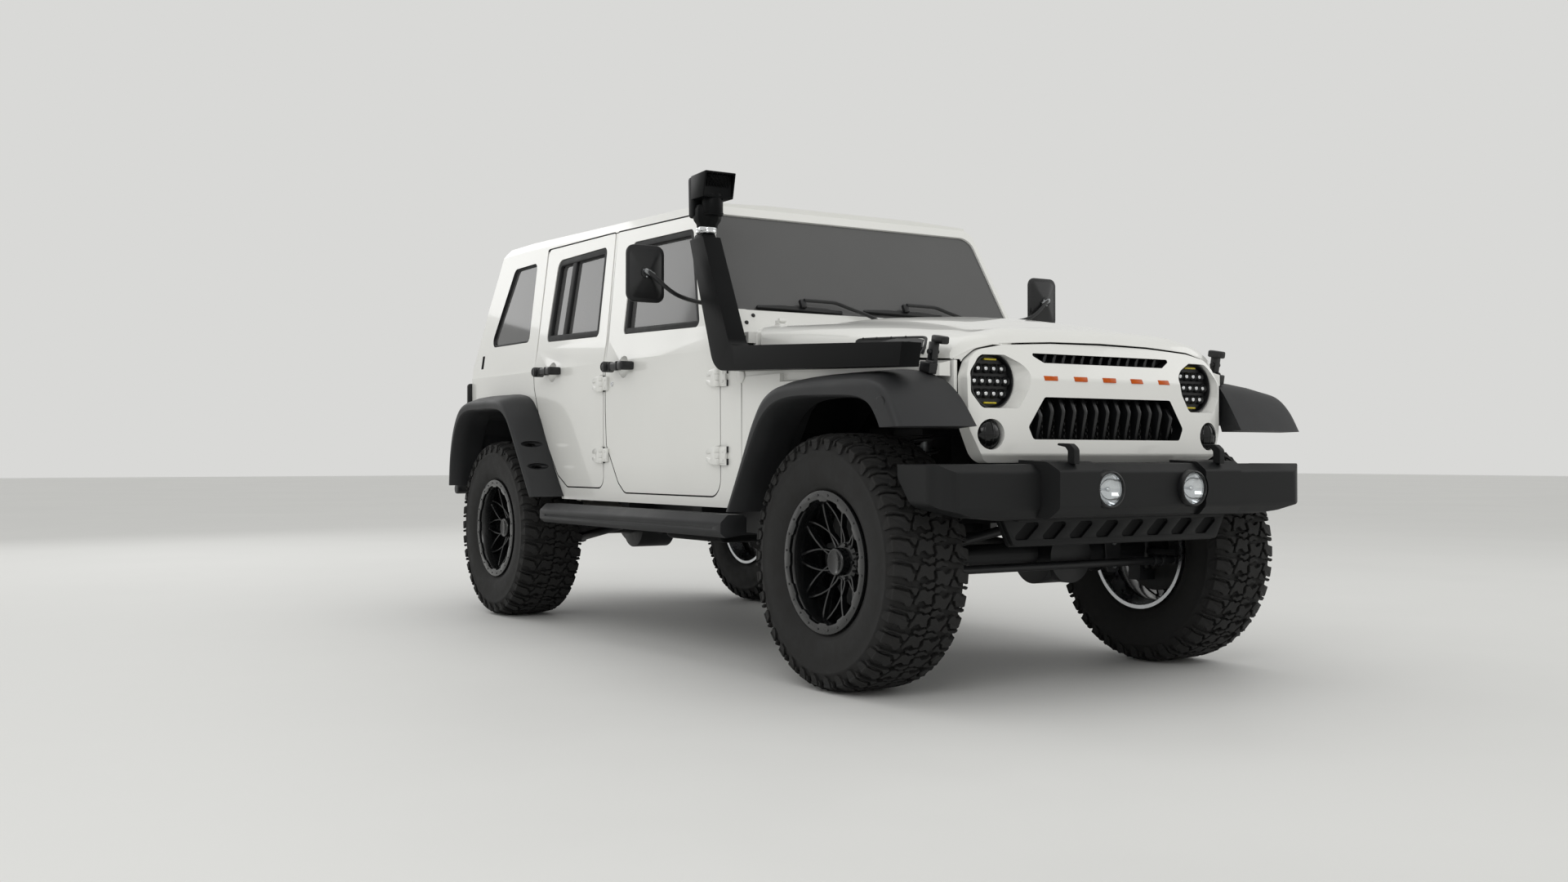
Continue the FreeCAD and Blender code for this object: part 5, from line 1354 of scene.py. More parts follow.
# Snorkel: duct, tapered shoulder, clamp, eight-sided collar, column and mesh head.
snorkelLook = {
    "duct": metres([(2046, 1070), (2060, 1146), (1000, 1200, 50), (795, 1632), (690, 1628), (880, 1112, 100),
            (1040, 1106, 60)]), "ductY": (-0.858, -0.780),
    "shoulder": ((0.6955, -0.8535, 1.600), (0.7900, -0.7835, 1.652)), "shoulderAxis": (0.743, -0.8185),
    "collar": metres([(0, 1672), (41, 1672), (42, 1684), (53, 1700), (56, 1712), (56, 1742), (50, 1760),
            (0, 1760)]), "collarAxis": Vector((0.744, -0.810, 0)),
    "slab": metres([(-866, 1712, 12), (-742, 1712, 12), (-738, 1872, 14), (-869, 1872, 14)]),
    "slabX": (0.6955, 0.736), "column": (0.777, -0.806), "rings": (1.722, 1.782),
    "box": ((0.722, -0.871, 1.780), (0.8405, -0.7365, 1.878)),
    "mouth": ((0.812, -0.864, 1.789), (0.900, -0.7435, 1.870)),
    "wire": ((0.8130, -0.0012, -0.115), (0.8160, 0.0012, 0.115)), "wirePitch": 0.0235, "wireLean": 48,
    "wireRake": 0.22, "meshMiddle": (-0.804, 1.830), "bandAxis": (0.744, -0.814), "bandSquash": 0.86,
    "band": metres([(44.5, 1651.5), (45.5, 1653.5), (45.5, 1656.5), (44.8, 1658), (44.8, 1664),
            (45.5, 1665.5), (45.5, 1668.5), (44.5, 1670.5), (39, 1670.5), (39, 1651.5)])}
duct = bevelled(plate("duct", rounded(snorkelLook["duct"], 9), 1, *snorkelLook["ductY"]), 0.019, 5, 28)
shoulder = startBox("shoulder", *snorkelLook["shoulder"])
x, y = snorkelLook["shoulderAxis"]
moveVertices(shoulder, lambda co: (x + (co.x - x) * 0.80, y + (co.y - y) * 0.86, co.z) if co.z > 1.63 else co)
bevelled(shoulder, 0.014, 4, 28)
axis = snorkelLook["collarAxis"]
collar = turned("collar", snorkelLook["collar"], axis, (0, 0, 1), 8)
collar.data.transform(Matrix.Translation(axis) @ Matrix.Rotation(radians(22.5), 4, "Z")
    @ Matrix.Translation(-axis))
bevelled(collar, 0.003, 2, 30)
slab = bevelled(plate("slab", rounded(snorkelLook["slab"]), 0, *snorkelLook["slabX"]), 0.005, 2, 35)
x, y = snorkelLook["column"]
column = bevelled(startRod("column", (x, y, 1.715), (x, y, 1.800), 0.0415, 40), 0.003, 2, 40)
columnRings = [easedRod("columnRing", (x, y, z), (x, y, z + 0.006), 0.0435, 40, 0.0015, 1)
    for z in snorkelLook["rings"]]
hoodBox = startBox("meshBox", *snorkelLook["box"])
moveVertices(hoodBox, lambda co: (co.x - (0.022 if co.z < 1.8 and co.x > 0.8 else 0), co.y,
        co.z - (0.006 if co.z > 1.8 and co.x < 0.8 else 0)))
cutBy(hoodBox, [startBox("mouth", *snorkelLook["mouth"])])
bevelled(hoodBox, 0.004, 2, 30)
mesh = []
meshWire = startBox("meshWire", *snorkelLook["wire"])
middle, up = snorkelLook["meshMiddle"]
(_, lowY, lowZ), (_, highY, highZ) = snorkelLook["mouth"]
for lean in (-1, 1):
    for i in range(-5, 6):
        twin = copied(meshWire, "meshWire", Matrix.Translation((0, middle + i * snorkelLook["wirePitch"], up))
            @ Matrix.Rotation(radians(lean * snorkelLook["wireLean"]), 4, "X"))
        moveVertices(twin, lambda co: (co.x + (co.z - up) * snorkelLook["wireRake"],
                min(highY, max(lowY, co.y)), min(highZ, max(lowZ, co.z))))
        mesh.append(twin)
dropped([meshWire])
snorkel = joined([duct, shoulder, collar, slab, column, hoodBox] + columnRings + mesh, "snorkelDuct")
fit(snorkel, "body", "mouldedPolyethylene", ["snorkel"])
x, y = snorkelLook["bandAxis"]
band = smooth(turned("band", snorkelLook["band"], (x, y, 0), (0, 0, 1), 48), 50)
moveVertices(band, lambda co: (co.x, y + (co.y - y) * snorkelLook["bandSquash"], co.z))
bandParts = [band, easedBox("bandScrewHouse", (0.768, -0.862, 1.6530), (0.790, -0.842, 1.6700), 0.002, 2),
    easedRod("bandScrew", (0.760, -0.858, 1.6615), (0.800, -0.843, 1.6615), 0.0045, 12, 0.001, 1)]
fit(joined(bandParts, "snorkelClamp"), "body", "chromePlate")

# Studded sealing strip along the hood shoulder, with a leaning plate behind it.
stripLook = {"line": metres([(1532, -656.5, 1187), (1552, -654.5, 1192.5), (1624, -637, 1192),
            (1728, -610, 1189), (1800, -593, 1186.5), (1832, -590, 1183), (1850, -600, 1170),
            (1868, -620, 1148), (1862, -627, 1128)]),
    "radius": 0.0062, "studs": (0.06, 0.30, 0.55, 0.80), "studMove": Vector((0, -0.004, 0.004)),
    "plate": [(1.500, 1.145), (1.532, 1.1855), (1.552, 1.191), (1.800, 1.185), (1.840, 1.177), (1.862, 1.150),
        (1.856, 1.128)], "cutX": (1.60, 1.70, 1.80), "cutZ": (1.150, 1.162, 1.174)}
line = [Vector(point) for point in stripLook["line"]]
studs = [tubed("ductStrip", through(line, 3), stripLook["radius"], 3, 3)]
studs += [startBall("stud", line[1].lerp(line[4], t) + stripLook["studMove"], 0.0042, 8, 12)
    for t in stripLook["studs"]]
backing = plate("ductBacking", stripLook["plate"], 1, -0.0015, 0.0015)
sliced(backing, [(x, 0, 0) for x in stripLook["cutX"]], (1, 0, 0))
sliced(backing, [(0, 0, z) for z in stripLook["cutZ"]], (0, 0, 1))
moveVertices(backing, lambda co: (co.x, co.y - 0.6645 + (co.x - 1.52) * 0.112
        + 1.30 * max(0.0, co.z - 1.197 + (co.x - 1.52) * 0.127), co.z))
fit(joined(studs + [backing], "ductStrip"), "hood", "glassFilledNylon")

# Wipers: pivots, arms and blades lying on the glass, with the frame's screws.
wiperLook = {"pivots": ((-0.020, 0.052), (0.500, 0.062)), "armRadius": 0.0075, "tip": 0.30,
    "arm": metres([(0, 0), (-45, 26), (-125, 56), (-180, 78), (-210, 83), (-342, 83)]),
    "blade": (-0.565, -0.158, 0.042, 0.056), "screws": ((0.613, 0.060), (0.653, 0.025))}
wipers = []
for across, up in wiperLook["pivots"]:
    wipers.append(easedRod("wiperPivot", (0.000, across, up), (0.026, across, up), 0.013, 20, 0.003, 2))
    arm = [(0.024 if i < 2 else 0.020, across + a, up + b) for i, (a, b) in enumerate(wiperLook["arm"])]
    wipers.append(tubed("wiperArm", arm, wiperLook["armRadius"], 2, 3))
    start, end, low, high = wiperLook["blade"]
    corner = start * (1 - wiperLook["tip"]) + end * wiperLook["tip"]
    outline = [(start, low + 0.002), (end, low - 0.004), (end, high - 0.004), (corner, high + 0.006),
        (start, high - 0.001)]
    wipers.append(bevelled(plate("wiperBlade", [(across + a, up + b) for a, b in outline], 0, -0.008, 0.008),
            0.002, 1))
    wipers.append(easedBox("wiperSaddle", (0.004, across - 0.362, up + 0.052),
            (0.022, across - 0.334, up + 0.088), 0.004, 2))
wipers += [startBall("frameScrew", (0.0005, side * y, z), 0.0085, 8, 16)
    for side in (-1, 1) for y, z in wiperLook["screws"]]
wiperSet = joined(wipers, "wiperSet")
wiperSet.data.transform(screenLean)
fit(wiperSet, "body", "glassFilledNylon", ["wipers"])

# Side steps: pressed board with a groove, a ribbed tread and brackets.
stepLook = {"x": (-0.660, 1.010), "groove": ((-0.60, 0.900, 0.518), (0.95, 0.920, 0.526)),
    "pad": ((-0.560, 0.812, 0.570), (0.900, 0.868, 0.580)),
    "rib": ((-0.550, 0, 0.568), (0.890, 0.005, 0.5735)),
    "ribs": 6, "ribY": 0.815, "ribPitch": 0.0092, "brackets": (-0.45, 0.15, 0.75),
    "section": metres([(791, 500, 8), (880, 487, 12), (904, 505, 14), (904, 545, 16), (872, 573.5, 14),
            (806, 573.5, 10), (791, 560, 6)])}
board = plate("stepBoard", rounded(stepLook["section"], 4), 0, *stepLook["x"])
cutBy(board, [startBox("groove", *stepLook["groove"]), startBox("padCut", *stepLook["pad"])])
stepParts = [bevelled(board, 0.003, 2, 30)]
rib = easedBox("rib", *stepLook["rib"], 0.0015, 1)
for i in range(stepLook["ribs"]):
    move = Matrix.Translation((0, stepLook["ribY"] + i * stepLook["ribPitch"], 0))
    stepParts.append(copied(rib, "rib", move))
dropped([rib])
stepParts += [easedBox("stepBracket", (x - 0.025, 0.700, 0.520), (x + 0.025, 0.800, 0.532), 0.003, 1)
    for x in stepLook["brackets"]]
step = joined(stepParts, "leftStep")
rightStep = copied(step, "rightStep", flipY)
fit(step, "body", "grainedPolypropylene", ["side_steps"])
fit(rightStep, "body", "grainedPolypropylene")
print("side done")

# Coil spring wound from one wire ring.
coilLook = {"radius": 0.0565, "wire": 0.0075, "y": 0.440, "steps": 26,
    "spans": [(1.630, 0.492, 0.860, 7), (-1.317, 0.496, 0.666, 4)]}  # x, foot, top, turns


def makeCoil(side, x, foot, top, turns):
    radius, wire, steps = coilLook["radius"], coilLook["wire"], coilLook["steps"]
    deselect()
    bpy.ops.mesh.primitive_circle_add(vertices=10, radius=wire, location=(radius - wire, 0, 0),
        rotation=(pi / 2, 0, 0))
    coil = applyPlace(newest("coil"))
    addModifier(coil, "SCREW", angle=2 * pi, screw_offset=(top - foot - 2 * wire) / turns, iterations=turns,
        steps=steps, render_steps=steps)
    editAll(coil)
    fillEnds()
    facedOut(coil)
    coil.data.transform(Matrix.Translation((x, side * coilLook["y"], foot + wire)))
    return smooth(coil, 60)


# Rod with a cross bush at each end, as on links and arms.
linkLook = {"gap": 0.004, "bolt": 0.008, "boltEnd": 0.006, "sides": 24}


def makeLink(name, start, end, radius, bush):
    start, end = Vector(start), Vector(end)
    along = (end - start).normalized()
    cross = Vector((0, 1, 0)) if abs(along.y) < 0.7 else Vector((1, 0, 0))
    gap, sides = along * linkLook["gap"], linkLook["sides"]
    parts = [easedRod(name, start + gap, end - gap, radius, sides, 0.003, 2)]
    for spot in (start + along * bush, end - along * bush):
        parts.append(easedRod("bush", spot - cross * bush, spot + cross * bush, bush * 0.98, sides, 0.003, 2))
        reach = cross * (bush + linkLook["boltEnd"])
        parts.append(easedRod("bushBolt", spot - reach, spot + reach, linkLook["bolt"], 6, 0.001, 1))
    return joined(parts, name)


# Suspension: coils, shock absorbers, arms and the track bar.
suspensionLook = {"y": 0.440,
    "shock": [("shockBody", 0.500, 0.690, 0.030, 28, 0.003, 2),
        ("shockStem", 0.690, 0.855, 0.011, 20, 0.001, 1)],
    "bumpStop": (0.790, 0.850, 0.026, 24, 0.032),
    "arms": [("frontArm", (1.600, 0.395, 0.374), (1.1157, 0.2885, 0.445)),
        ("rearArm", (-1.287, 0.420, 0.374), (-0.7641, 0.399, 0.466))],
    "armRadius": 0.0205, "bush": 0.024, "trackBar": ((1.713, -0.400, 0.480), (1.713, 0.2812, 0.611), 0.0175),
    "rearShock": ((-1.410, 0.470, 0.414), (-1.437, 0.390, 0.664)),
    "rearTubes": [("rearShock", 0.0, 0.58, 0.0255), ("rearShockCover", 0.52, 1.0, 0.0215)]}
axles = {"front": (1.630, 0.434), "rear": (-1.317, 0.434)}
coils, links, shocks = [], [], []
for side in (-1, 1):
    x, y = axles["front"][0], side * suspensionLook["y"]
    coils += [makeCoil(side, *span) for span in coilLook["spans"]]
    shocks += [easedRod(name, (x, y, foot), (x, y, top), *shape)
        for name, foot, top, *shape in suspensionLook["shock"]]
    foot, top, *shape = suspensionLook["bumpStop"]
    shocks.append(bevelled(startRod("bumpStop", (x, y, foot), (x, y, top), *shape), 0.005, 2))
    links += [makeLink(name, sided(start, side), sided(end, side), suspensionLook["armRadius"],
            suspensionLook["bush"]) for name, start, end in suspensionLook["arms"]]
    low, high = (Vector(sided(spot, side)) for spot in suspensionLook["rearShock"])
    shocks += [easedRod(name, low.lerp(high, start), low.lerp(high, end), radius, 28, 0.003, 2)
        for name, start, end, radius in suspensionLook["rearTubes"]]
links.append(makeLink("trackBar", *suspensionLook["trackBar"], suspensionLook["bush"]))
fit(joined(coils + links, "suspensionLinks"), "body", "powderCoatedSteel", ["suspension"])
fit(joined(shocks, "shockAbsorbers"), "body", "zincPlate")

# Axles: rounded castings with a domed, ribbed and bolted cover, and brackets for the springs.
coverLook = {"front": ((1.738, 0.150, 0.426), 1, 0.097, 0.0),
    "rear": ((-1.457, 0.0, 0.434), -1, 0.107, 0.031),
    "profile": metres([(0, 0), (30, -1.5), (58, -8), (78, -20), (86, -30)]),
    "back": -0.046, "ribY": (-0.022, 0.022), "bolts": 10, "boltIn": 0.010}
bracketLook = {"y": 0.420, "outline": metres([(-45, 50, 12), (45, 50, 12), (30, -82, 18), (-30, -82, 18)]),
    "x": (-0.052, 0.040), "thick": 0.010, "boltUp": (0.030, -0.058), "boltX": (0.048, 0.060)}
for word in axles:
    (atX, atY, atZ), way, radius, ribMove = coverLook[word]
    x, z = axles[word]
    axle = bevelled(nodeCopy(word + "_axle", word + "AxleShell"), 0.005, 2, 35)
    profile = coverLook["profile"] + [(radius, -0.030), (radius, coverLook["back"]), (0.0, coverLook["back"])]
    dome = turned("cover", profile, (atX, atY, atZ), (way, 0, 0), 48)
    ribs = [easedBox("coverRib", (atX - 0.030 + ribMove, atY + y - 0.004, atZ - 0.062),
            (atX - 0.001 + ribMove, atY + y + 0.004, atZ + 0.062), 0.003, 1) for y in coverLook["ribY"]]
    brackets, bolts = [], []
    for side in (-1, 1):
        y = side * bracketLook["y"]
        for x0 in bracketLook["x"]:
            outline = rounded([(y + a, z + b, r) for a, b, r in bracketLook["outline"]])
            bracket = plate("axleBracket", outline, 0, x + x0, x + x0 + bracketLook["thick"])
            brackets.append(bevelled(bracket, 0.002, 1))
    fit(joined([axle, smooth(dome, 45)] + ribs + brackets, word + "AxleShell"), "body",
        "powderCoatedSteel", [word + "_axle"])
    for i in range(coverLook["bolts"]):
        angle = 2 * pi * (i + 0.5) / coverLook["bolts"]
        reach = radius - coverLook["boltIn"]
        y, up = atY + reach * cos(angle), atZ + reach * sin(angle)
        bolts.append(easedRod("coverBolt", (atX - way * 0.032, y, up), (atX - way * 0.018, y, up), 0.0085, 6,
                0.001, 1))
    for side in (-1, 1):
        y = side * bracketLook["y"]
        start, end = bracketLook["boltX"]
        bolts += [easedRod("bracketBolt", (x + start, y, z + up), (x + end, y, z + up), 0.0095, 6, 0.001, 1)
            for up in bracketLook["boltUp"]]
    fit(joined(bolts, word + "AxleBolts"), "body", "zincPlate")

# Knuckles and tie rod.
for word in paired:
    knuckle = bevelled(nodeCopy("knuckle_" + word, "knuckle" + word.title() + "Shell"), 0.005, 2, 35)
    fit(knuckle, "knuckle_" + word, "powderCoatedSteel", ["knuckle_" + word])
tieLook = {"x": 1.780, "z": 0.398, "end": 0.640, "radius": 0.0148, "sleeves": (0.520, 0.560),
    "sleeveLong": 0.022,
    "ball": [(0.0, -0.0185), (0.016, -0.0185), (0.0187, -0.012), (0.0187, 0.010), (0.013, 0.0155),
        (0.0, 0.0158)]}
x, z, end = tieLook["x"], tieLook["z"], tieLook["end"]
tie = [easedRod("tieBar", (x, -end, z), (x, end, z), tieLook["radius"], 24, 0.001, 1)]
for side in (-1, 1):
    tie.append(smooth(turned("tieEnd", tieLook["ball"], (x, side * end, z), (0, 0, 1), 28)))
    tie += [easedRod("tieSleeve", (x, side * y, z), (x, side * (y + tieLook["sleeveLong"]), z), 0.0205, 24,
            0.002, 1) for y in tieLook["sleeves"]]
fit(joined(tie, "tieRodShell"), "tie_rod", "powderCoatedSteel", ["tie_rod"])

# Rolled tip on the end of the tail pipe.
tipLook = {"place": (-1.960, 0.150, 0.520), "way": (-0.320, 0.0, -0.040), "bore": 0.024,
    "profile": [(0.0, 0.0015), (0.0250, 0.0015), (0.0262, 0.052), (0.0290, 0.052), (0.0285, -0.030),
        (0.0263, -0.030), (0.0263, 0.0005), (0.0, 0.0005)]}
tip = turned("exhaustTip", tipLook["profile"], tipLook["place"], tipLook["way"], 32)
fit(smooth(tip, 40), "body", "aluminisedSteel")
mouth = Vector(tipLook["place"])
# The disc that closes the bore is painted near black: painted shade of the open pipe.
painted(tip, "mouldedPolyethylene", lambda c, n: n.x < -0.9 and (c - mouth).length < tipLook["bore"])

# Vented brake discs, and calipers with two pistons over them.
brakeLook = {"disc": metres([(72, -35), (165, -35), (165, -27), (135, -26.5), (135, -20.5), (165, -20),
            (165, -12), (80, -12), (78, 20), (72.5, 24), (0, 24), (0, 18), (66, 18), (72, 10)]),
    "caliper": metres([(-178, -52, 15), (-128, -58, 10), (-118, 0, 20), (-128, 58, 10), (-178, 52, 15),
            (-188, 0, 30)]),
    "slot": metres([(-170, -80), (-100, -80), (-100, 80), (-170, 80)]), "pistons": (-0.024, 0.024)}
disc = smooth(turned("disc", brakeLook["disc"], (0, 0, 0), (0, 1, 0), 64), 35)
caliper = plate("caliper", rounded(brakeLook["caliper"]), 1, -0.062, 0.004)
cutBy(caliper, [plate("caliperSlot", brakeLook["slot"], 1, -0.038, -0.009)])
pistons = [startRod("piston", (-0.150, -0.075, z), (-0.150, -0.060, z), 0.020, 24)
    for z in brakeLook["pistons"]]
caliper = joined([bevelled(caliper, 0.004, 2, 35)] + [bevelled(p, 0.003, 2) for p in pistons], "caliper")
for spotName, (spot, turnAngle) in wheelPlaces.items():
    if spotName == "spare":
        continue
    turn = Matrix.Translation(spot) @ Matrix.Rotation(radians(turnAngle), 4, "Z")
    fit(copied(disc, spotName + "Disc", turn), "wheel_" + spotName, "sandCastIron")
    end, word = spotName.split("_")
    flip = Matrix.Diagonal((-1, 1, 1, 1)) if turnAngle == 180 else Matrix.Identity(4)
    body = "knuckle_" + word if end == "front" else "body"
    fit(copied(caliper, spotName + "Caliper", turn @ flip), body, "sandCastIron")
dropped([disc, caliper])

# Engine bay: block with heads and pulleys, ribbed cover, hose, and radiator with its shroud.
engineLook = {
    "boxes": [("block", (1.130, -0.205, 0.702), (1.770, 0.205, 0.960), 0.012),
        ("headLeft", (1.150, 0.040, 0.950), (1.740, 0.222, 1.030), 0.018),
        ("headRight", (1.150, -0.222, 0.950), (1.740, -0.040, 1.030), 0.018)],
    "rods": [("pulley", (1.765, 0, 0.790), (1.779, 0, 0.790), 0.085, 40, 0.004, 2),
        ("pulley", (1.765, 0.130, 0.900), (1.779, 0.130, 0.900), 0.050, 32, 0.004, 2),
        ("engineMount", (1.360, -0.280, 0.706), (1.360, 0.280, 0.706), 0.014, 20, 0.002, 1)],
    "cover": ((1.200, -0.190, 1.030), (1.680, 0.190, 1.084)),
    "fins": (-0.130, -0.078, -0.026, 0.026, 0.078, 0.130),
    "filler": metres([(0, 0), (30, 0), (30, 16), (26, 20), (0, 20)]),
    "hose": metres([(1700, -60, 1050), (1760, -75, 1046), (1830, -95, 1030), (1885, -110, 1010)]),
    "shroud": ((1.868, -0.290, 0.720), (1.905, 0.290, 1.070)), "fan": 0.150, "tanks": (-0.290, 0.290),
    "core": ((1.912, -0.275, 0.712), (1.945, 0.275, 1.084)), "coreFins": 25, "corePitch": 0.0145}
engineParts = [easedBox(*row) for row in engineLook["boxes"]] + [easedRod(*row) for row in engineLook["rods"]]
fit(joined(engineParts, "engineBlock"), "body", "sandCastIron", ["engine"])
coverParts = [easedBox("engineCover", *engineLook["cover"], 0.018, 4)]
coverParts += [easedBox("coverFin", (1.230, y - 0.007, 1.076), (1.650, y + 0.007, 1.0885), 0.004, 2)
    for y in engineLook["fins"]]
coverParts.append(smooth(turned("filler", engineLook["filler"], (1.705, 0.150, 1.030), (0, 0, 1), 24)))
coverParts.append(tubed("intakeHose", engineLook["hose"], 0.032, 5, 3))
shroud = easedBox("fanShroud", *engineLook["shroud"], 0.010, 2)
cutBy(shroud, [startRod("fanHole", (1.85, 0, 0.895), (1.890, 0, 0.895), engineLook["fan"], 48)])
coverParts.append(smooth(shroud, 35))
coverParts += [easedBox("radiatorTank", (1.902, y - 0.018, 0.708), (1.958, y + 0.018, 1.088), 0.008, 2)
    for y in engineLook["tanks"]]
fit(joined(coverParts, "engineCover"), "body", "glassFilledNylon")
core = [startBox("radiatorCore", *engineLook["core"])]
for i in range(engineLook["coreFins"]):
    z = 0.716 + i * engineLook["corePitch"]
    core.append(startBox("coreFin", (1.945, -0.272, z), (1.950, 0.272, 0.7215 + i * engineLook["corePitch"])))
fit(joined(core, "radiatorCore"), "body", "aluminisedSteel")
print("under done")

# Dashboard: rounded pad with a gauge hood, vents, screen, dials, grab bar and glove box.
dashLook = {
    "hood": metres([(610, 1150, 12), (612, 1208, 20), (700, 1216.5, 12), (700, 1150, 12)]),
    "vents": (-0.600, -0.110, 0.110, 0.600), "vanes": (-0.018, -0.006, 0.006, 0.018),
    "ventRing": metres([(34, 0), (40, 0), (42, 6), (38, 10), (34, 7)]),
    "screen": ((0.594, -0.070, 1.105), (0.612, 0.070, 1.185)), "dials": (-0.055, 0.0, 0.055),
    "gauges": (0.325, 0.415),
    "bar": metres([(606, -220, 1140), (586, -225, 1142), (582, -280, 1142), (582, -460, 1142),
            (586, -515, 1142), (606, -520, 1140)]),
    "glove": metres([(-540, 1048, 15), (-200, 1048, 15), (-200, 1122, 15), (-540, 1122, 15)])}
dash = bevelled(nodeCopy("dashboard", "dashboardShell"), 0.012, 4, 25)
gaugeHood = bevelled(plate("gaugeHood", rounded(dashLook["hood"]), 1, 0.210, 0.530), 0.010, 3)
fit(joined([dash, gaugeHood], "dashboardShell"), "body", "dashboardSkin", ["dashboard"])
trim = []
for y in dashLook["vents"]:
    trim.append(smooth(turned("ventRing", dashLook["ventRing"], (0.601, y, 1.150), (-1, 0, 0), 32)))
    trim += [easedBox("ventVane", (0.594, y - 0.033, 1.150 + up - 0.0012),
            (0.602, y + 0.033, 1.150 + up + 0.0012), 0.0005, 1) for up in dashLook["vanes"]]
trim.append(easedBox("screenFrame", *dashLook["screen"], 0.004, 2))
trim += [easedRod("dial", (0.600, y, 1.080), (0.588, y, 1.080), 0.019, 24, 0.003, 2)
    for y in dashLook["dials"]]
trim.append(tubed("grabBar", dashLook["bar"], 0.0115, 4, 3))
trim += [easedRod("gaugeRim", (0.6115, y, 1.180), (0.6045, y, 1.180), 0.028, 32, 0.002, 2)
    for y in dashLook["gauges"]]
trim.append(bevelled(plate("gloveLid", rounded(dashLook["glove"]), 0, 0.600, 0.616), 0.004, 2))
fit(joined(trim, "dashboardTrim"), "body", "glassFilledNylon")

# Steering wheel: padded rim with finger waves, hub pad, three spokes.
steerLook = {"centre": (0.535, 0.370, 1.142), "lean": -71, "rim": (0.178, 0.0145), "wave": 0.06,
    "spokes": (0, 90, 270),
    "hub": metres([(46, 52, 30), (-46, 52, 30), (-52, -44, 30), (52, -44, 30)])}
rim = startRing("steeringRim", (0, 0, 0), (0, 0, 1), *steerLook["rim"], 72, 14)
moveVertices(rim, lambda co: (co.x, co.y, co.z * (1.0 + steerLook["wave"] * cos(6 * atan2(co.y, co.x)))))
steer = [smooth(rim, 60), bevelled(plate("steeringHub", rounded(steerLook["hub"], 6), 2, -0.014, 0.018),
        0.009, 3)]
for angle in steerLook["spokes"]:
    spoke = startBox("steeringSpoke", (0.030, -0.0165, -0.006), (0.172, 0.0165, 0.006))
    moveVertices(spoke, lambda co: (co.x, co.y * (1.15 if co.x < 0.1 else 0.72), co.z))
    spoke.data.transform(Matrix.Rotation(radians(angle), 4, "Z"))
    steer.append(bevelled(spoke, 0.004, 2))
wheel = joined(steer, "steeringWheelShell")
wheel.data.transform(Matrix.Translation(steerLook["centre"])
    @ Matrix.Rotation(radians(steerLook["lean"]), 4, "Y"))
fit(wheel, "steering_wheel", "dashboardSkin", ["steering_wheel"])


# Seats: each pad starts a little small, swells as cloth, then gets its sewn channels.
padLook = {"voxel": 0.011, "pressure": 4.0, "cap": 0.022, "frames": 18, "deepest": 0.010}


def makePad(name, outline, halfWide, channels):
    pad = plate(name, rounded(outline, 4), 1, -halfWide, halfWide)
    bevelled(pad, 0.022, 3, 40)
    addModifier(pad, "REMESH", mode="VOXEL", voxel_size=padLook["voxel"], adaptivity=0.0)
    before = [vertex.co.copy() for vertex in pad.data.vertices]
    cloth = pad.modifiers.new("Cloth", "CLOTH")
    cloth.settings.use_pressure = True
    cloth.settings.uniform_pressure_force = padLook["pressure"]
    cloth.settings.effector_weights.gravity = 0
    cloth.point_cache.frame_start, cloth.point_cache.frame_end = 1, padLook["frames"]
    for step in range(1, padLook["frames"] + 1):
        scene.frame_set(step)
    activate(pad)
    bpy.ops.object.modifier_apply(modifier="Cloth")
    scene.frame_set(1)
    for vertex, start in zip(pad.data.vertices, before):
        move = vertex.co - start
        if move.length > padLook["cap"]:
            vertex.co = start + move.normalized() * padLook["cap"]
    addModifier(pad, "SUBSURF", levels=1, render_levels=1)
    activate(pad)
    bpy.ops.object.shade_smooth()
    normals = [vertex.normal.copy() for vertex in pad.data.vertices]
    for vertex, normal in zip(pad.data.vertices, normals):
        depth = 0.0
        for axis, place, width, deep in channels:
            depth += deep * 2.718 ** (-(abs(vertex.co[axis] - place) / width) ** 2)
        vertex.co -= normal * min(depth, padLook["deepest"])
    return pad


# Outline of each pad seen from the side, half its width, and its channels: axis, places, width, depth.
seatLook = {
    "cushion": (metres([(0, 776, 20), (455, 776, 30), (462, 862, 35), (60, 845, 20), (10, 835, 20)]), 0.222,
        [(0, (0.16, 0.28, 0.40), 0.007, 0.006), (1, (-0.150, 0.150), 0.007, 0.006)]),
    "back": (metres([(30, 872, 20), (-112, 1355, 35), (-182, 1348, 35), (-50, 862, 20)]), 0.218,
        [(2, (1.00, 1.11, 1.22), 0.007, 0.006), (1, (-0.145, 0.145), 0.007, 0.006)]),
    "head": (metres([(-142, 1402, 20), (-200, 1394, 20), (-222, 1546, 30), (-164, 1552, 30)]), 0.104,
        [(2, (1.475,), 0.006, 0.003)]),
    "bench": (metres([(-930, 816, 20), (-538, 816, 30), (-532, 910, 35), (-900, 884, 20)]), 0.494,
        [(1, (-0.34, -0.17, 0.17, 0.34), 0.008, 0.007)]),
    "benchBack": (metres([(-925, 905, 20), (-1022, 1375, 35), (-1092, 1368, 35), (-1005, 900, 20)]), 0.494,
        [(1, (-0.34, -0.17, 0.17, 0.34), 0.008, 0.007)])}
seatPads = {}
for kind, (outline, halfWide, channels) in seatLook.items():
    channels = [(axis, place, width, deep) for axis, places, width, deep in channels for place in places]
    seatPads[kind] = makePad(kind, outline, halfWide, channels)
seatFrame = {"y": 0.370, "post": ((-0.150, 1.330), (-0.172, 1.415)), "posts": (-0.055, 0.055),
    "hingeGap": 0.462,
    "hinge": metres([(-85, 775, 20), (50, 775, 20), (45, 900, 30), (-45, 930, 30)])}


def fitPad(kind, name, place=None):
    pad = fit(copied(seatPads[kind], name, place), "body", "wovenPolyester")


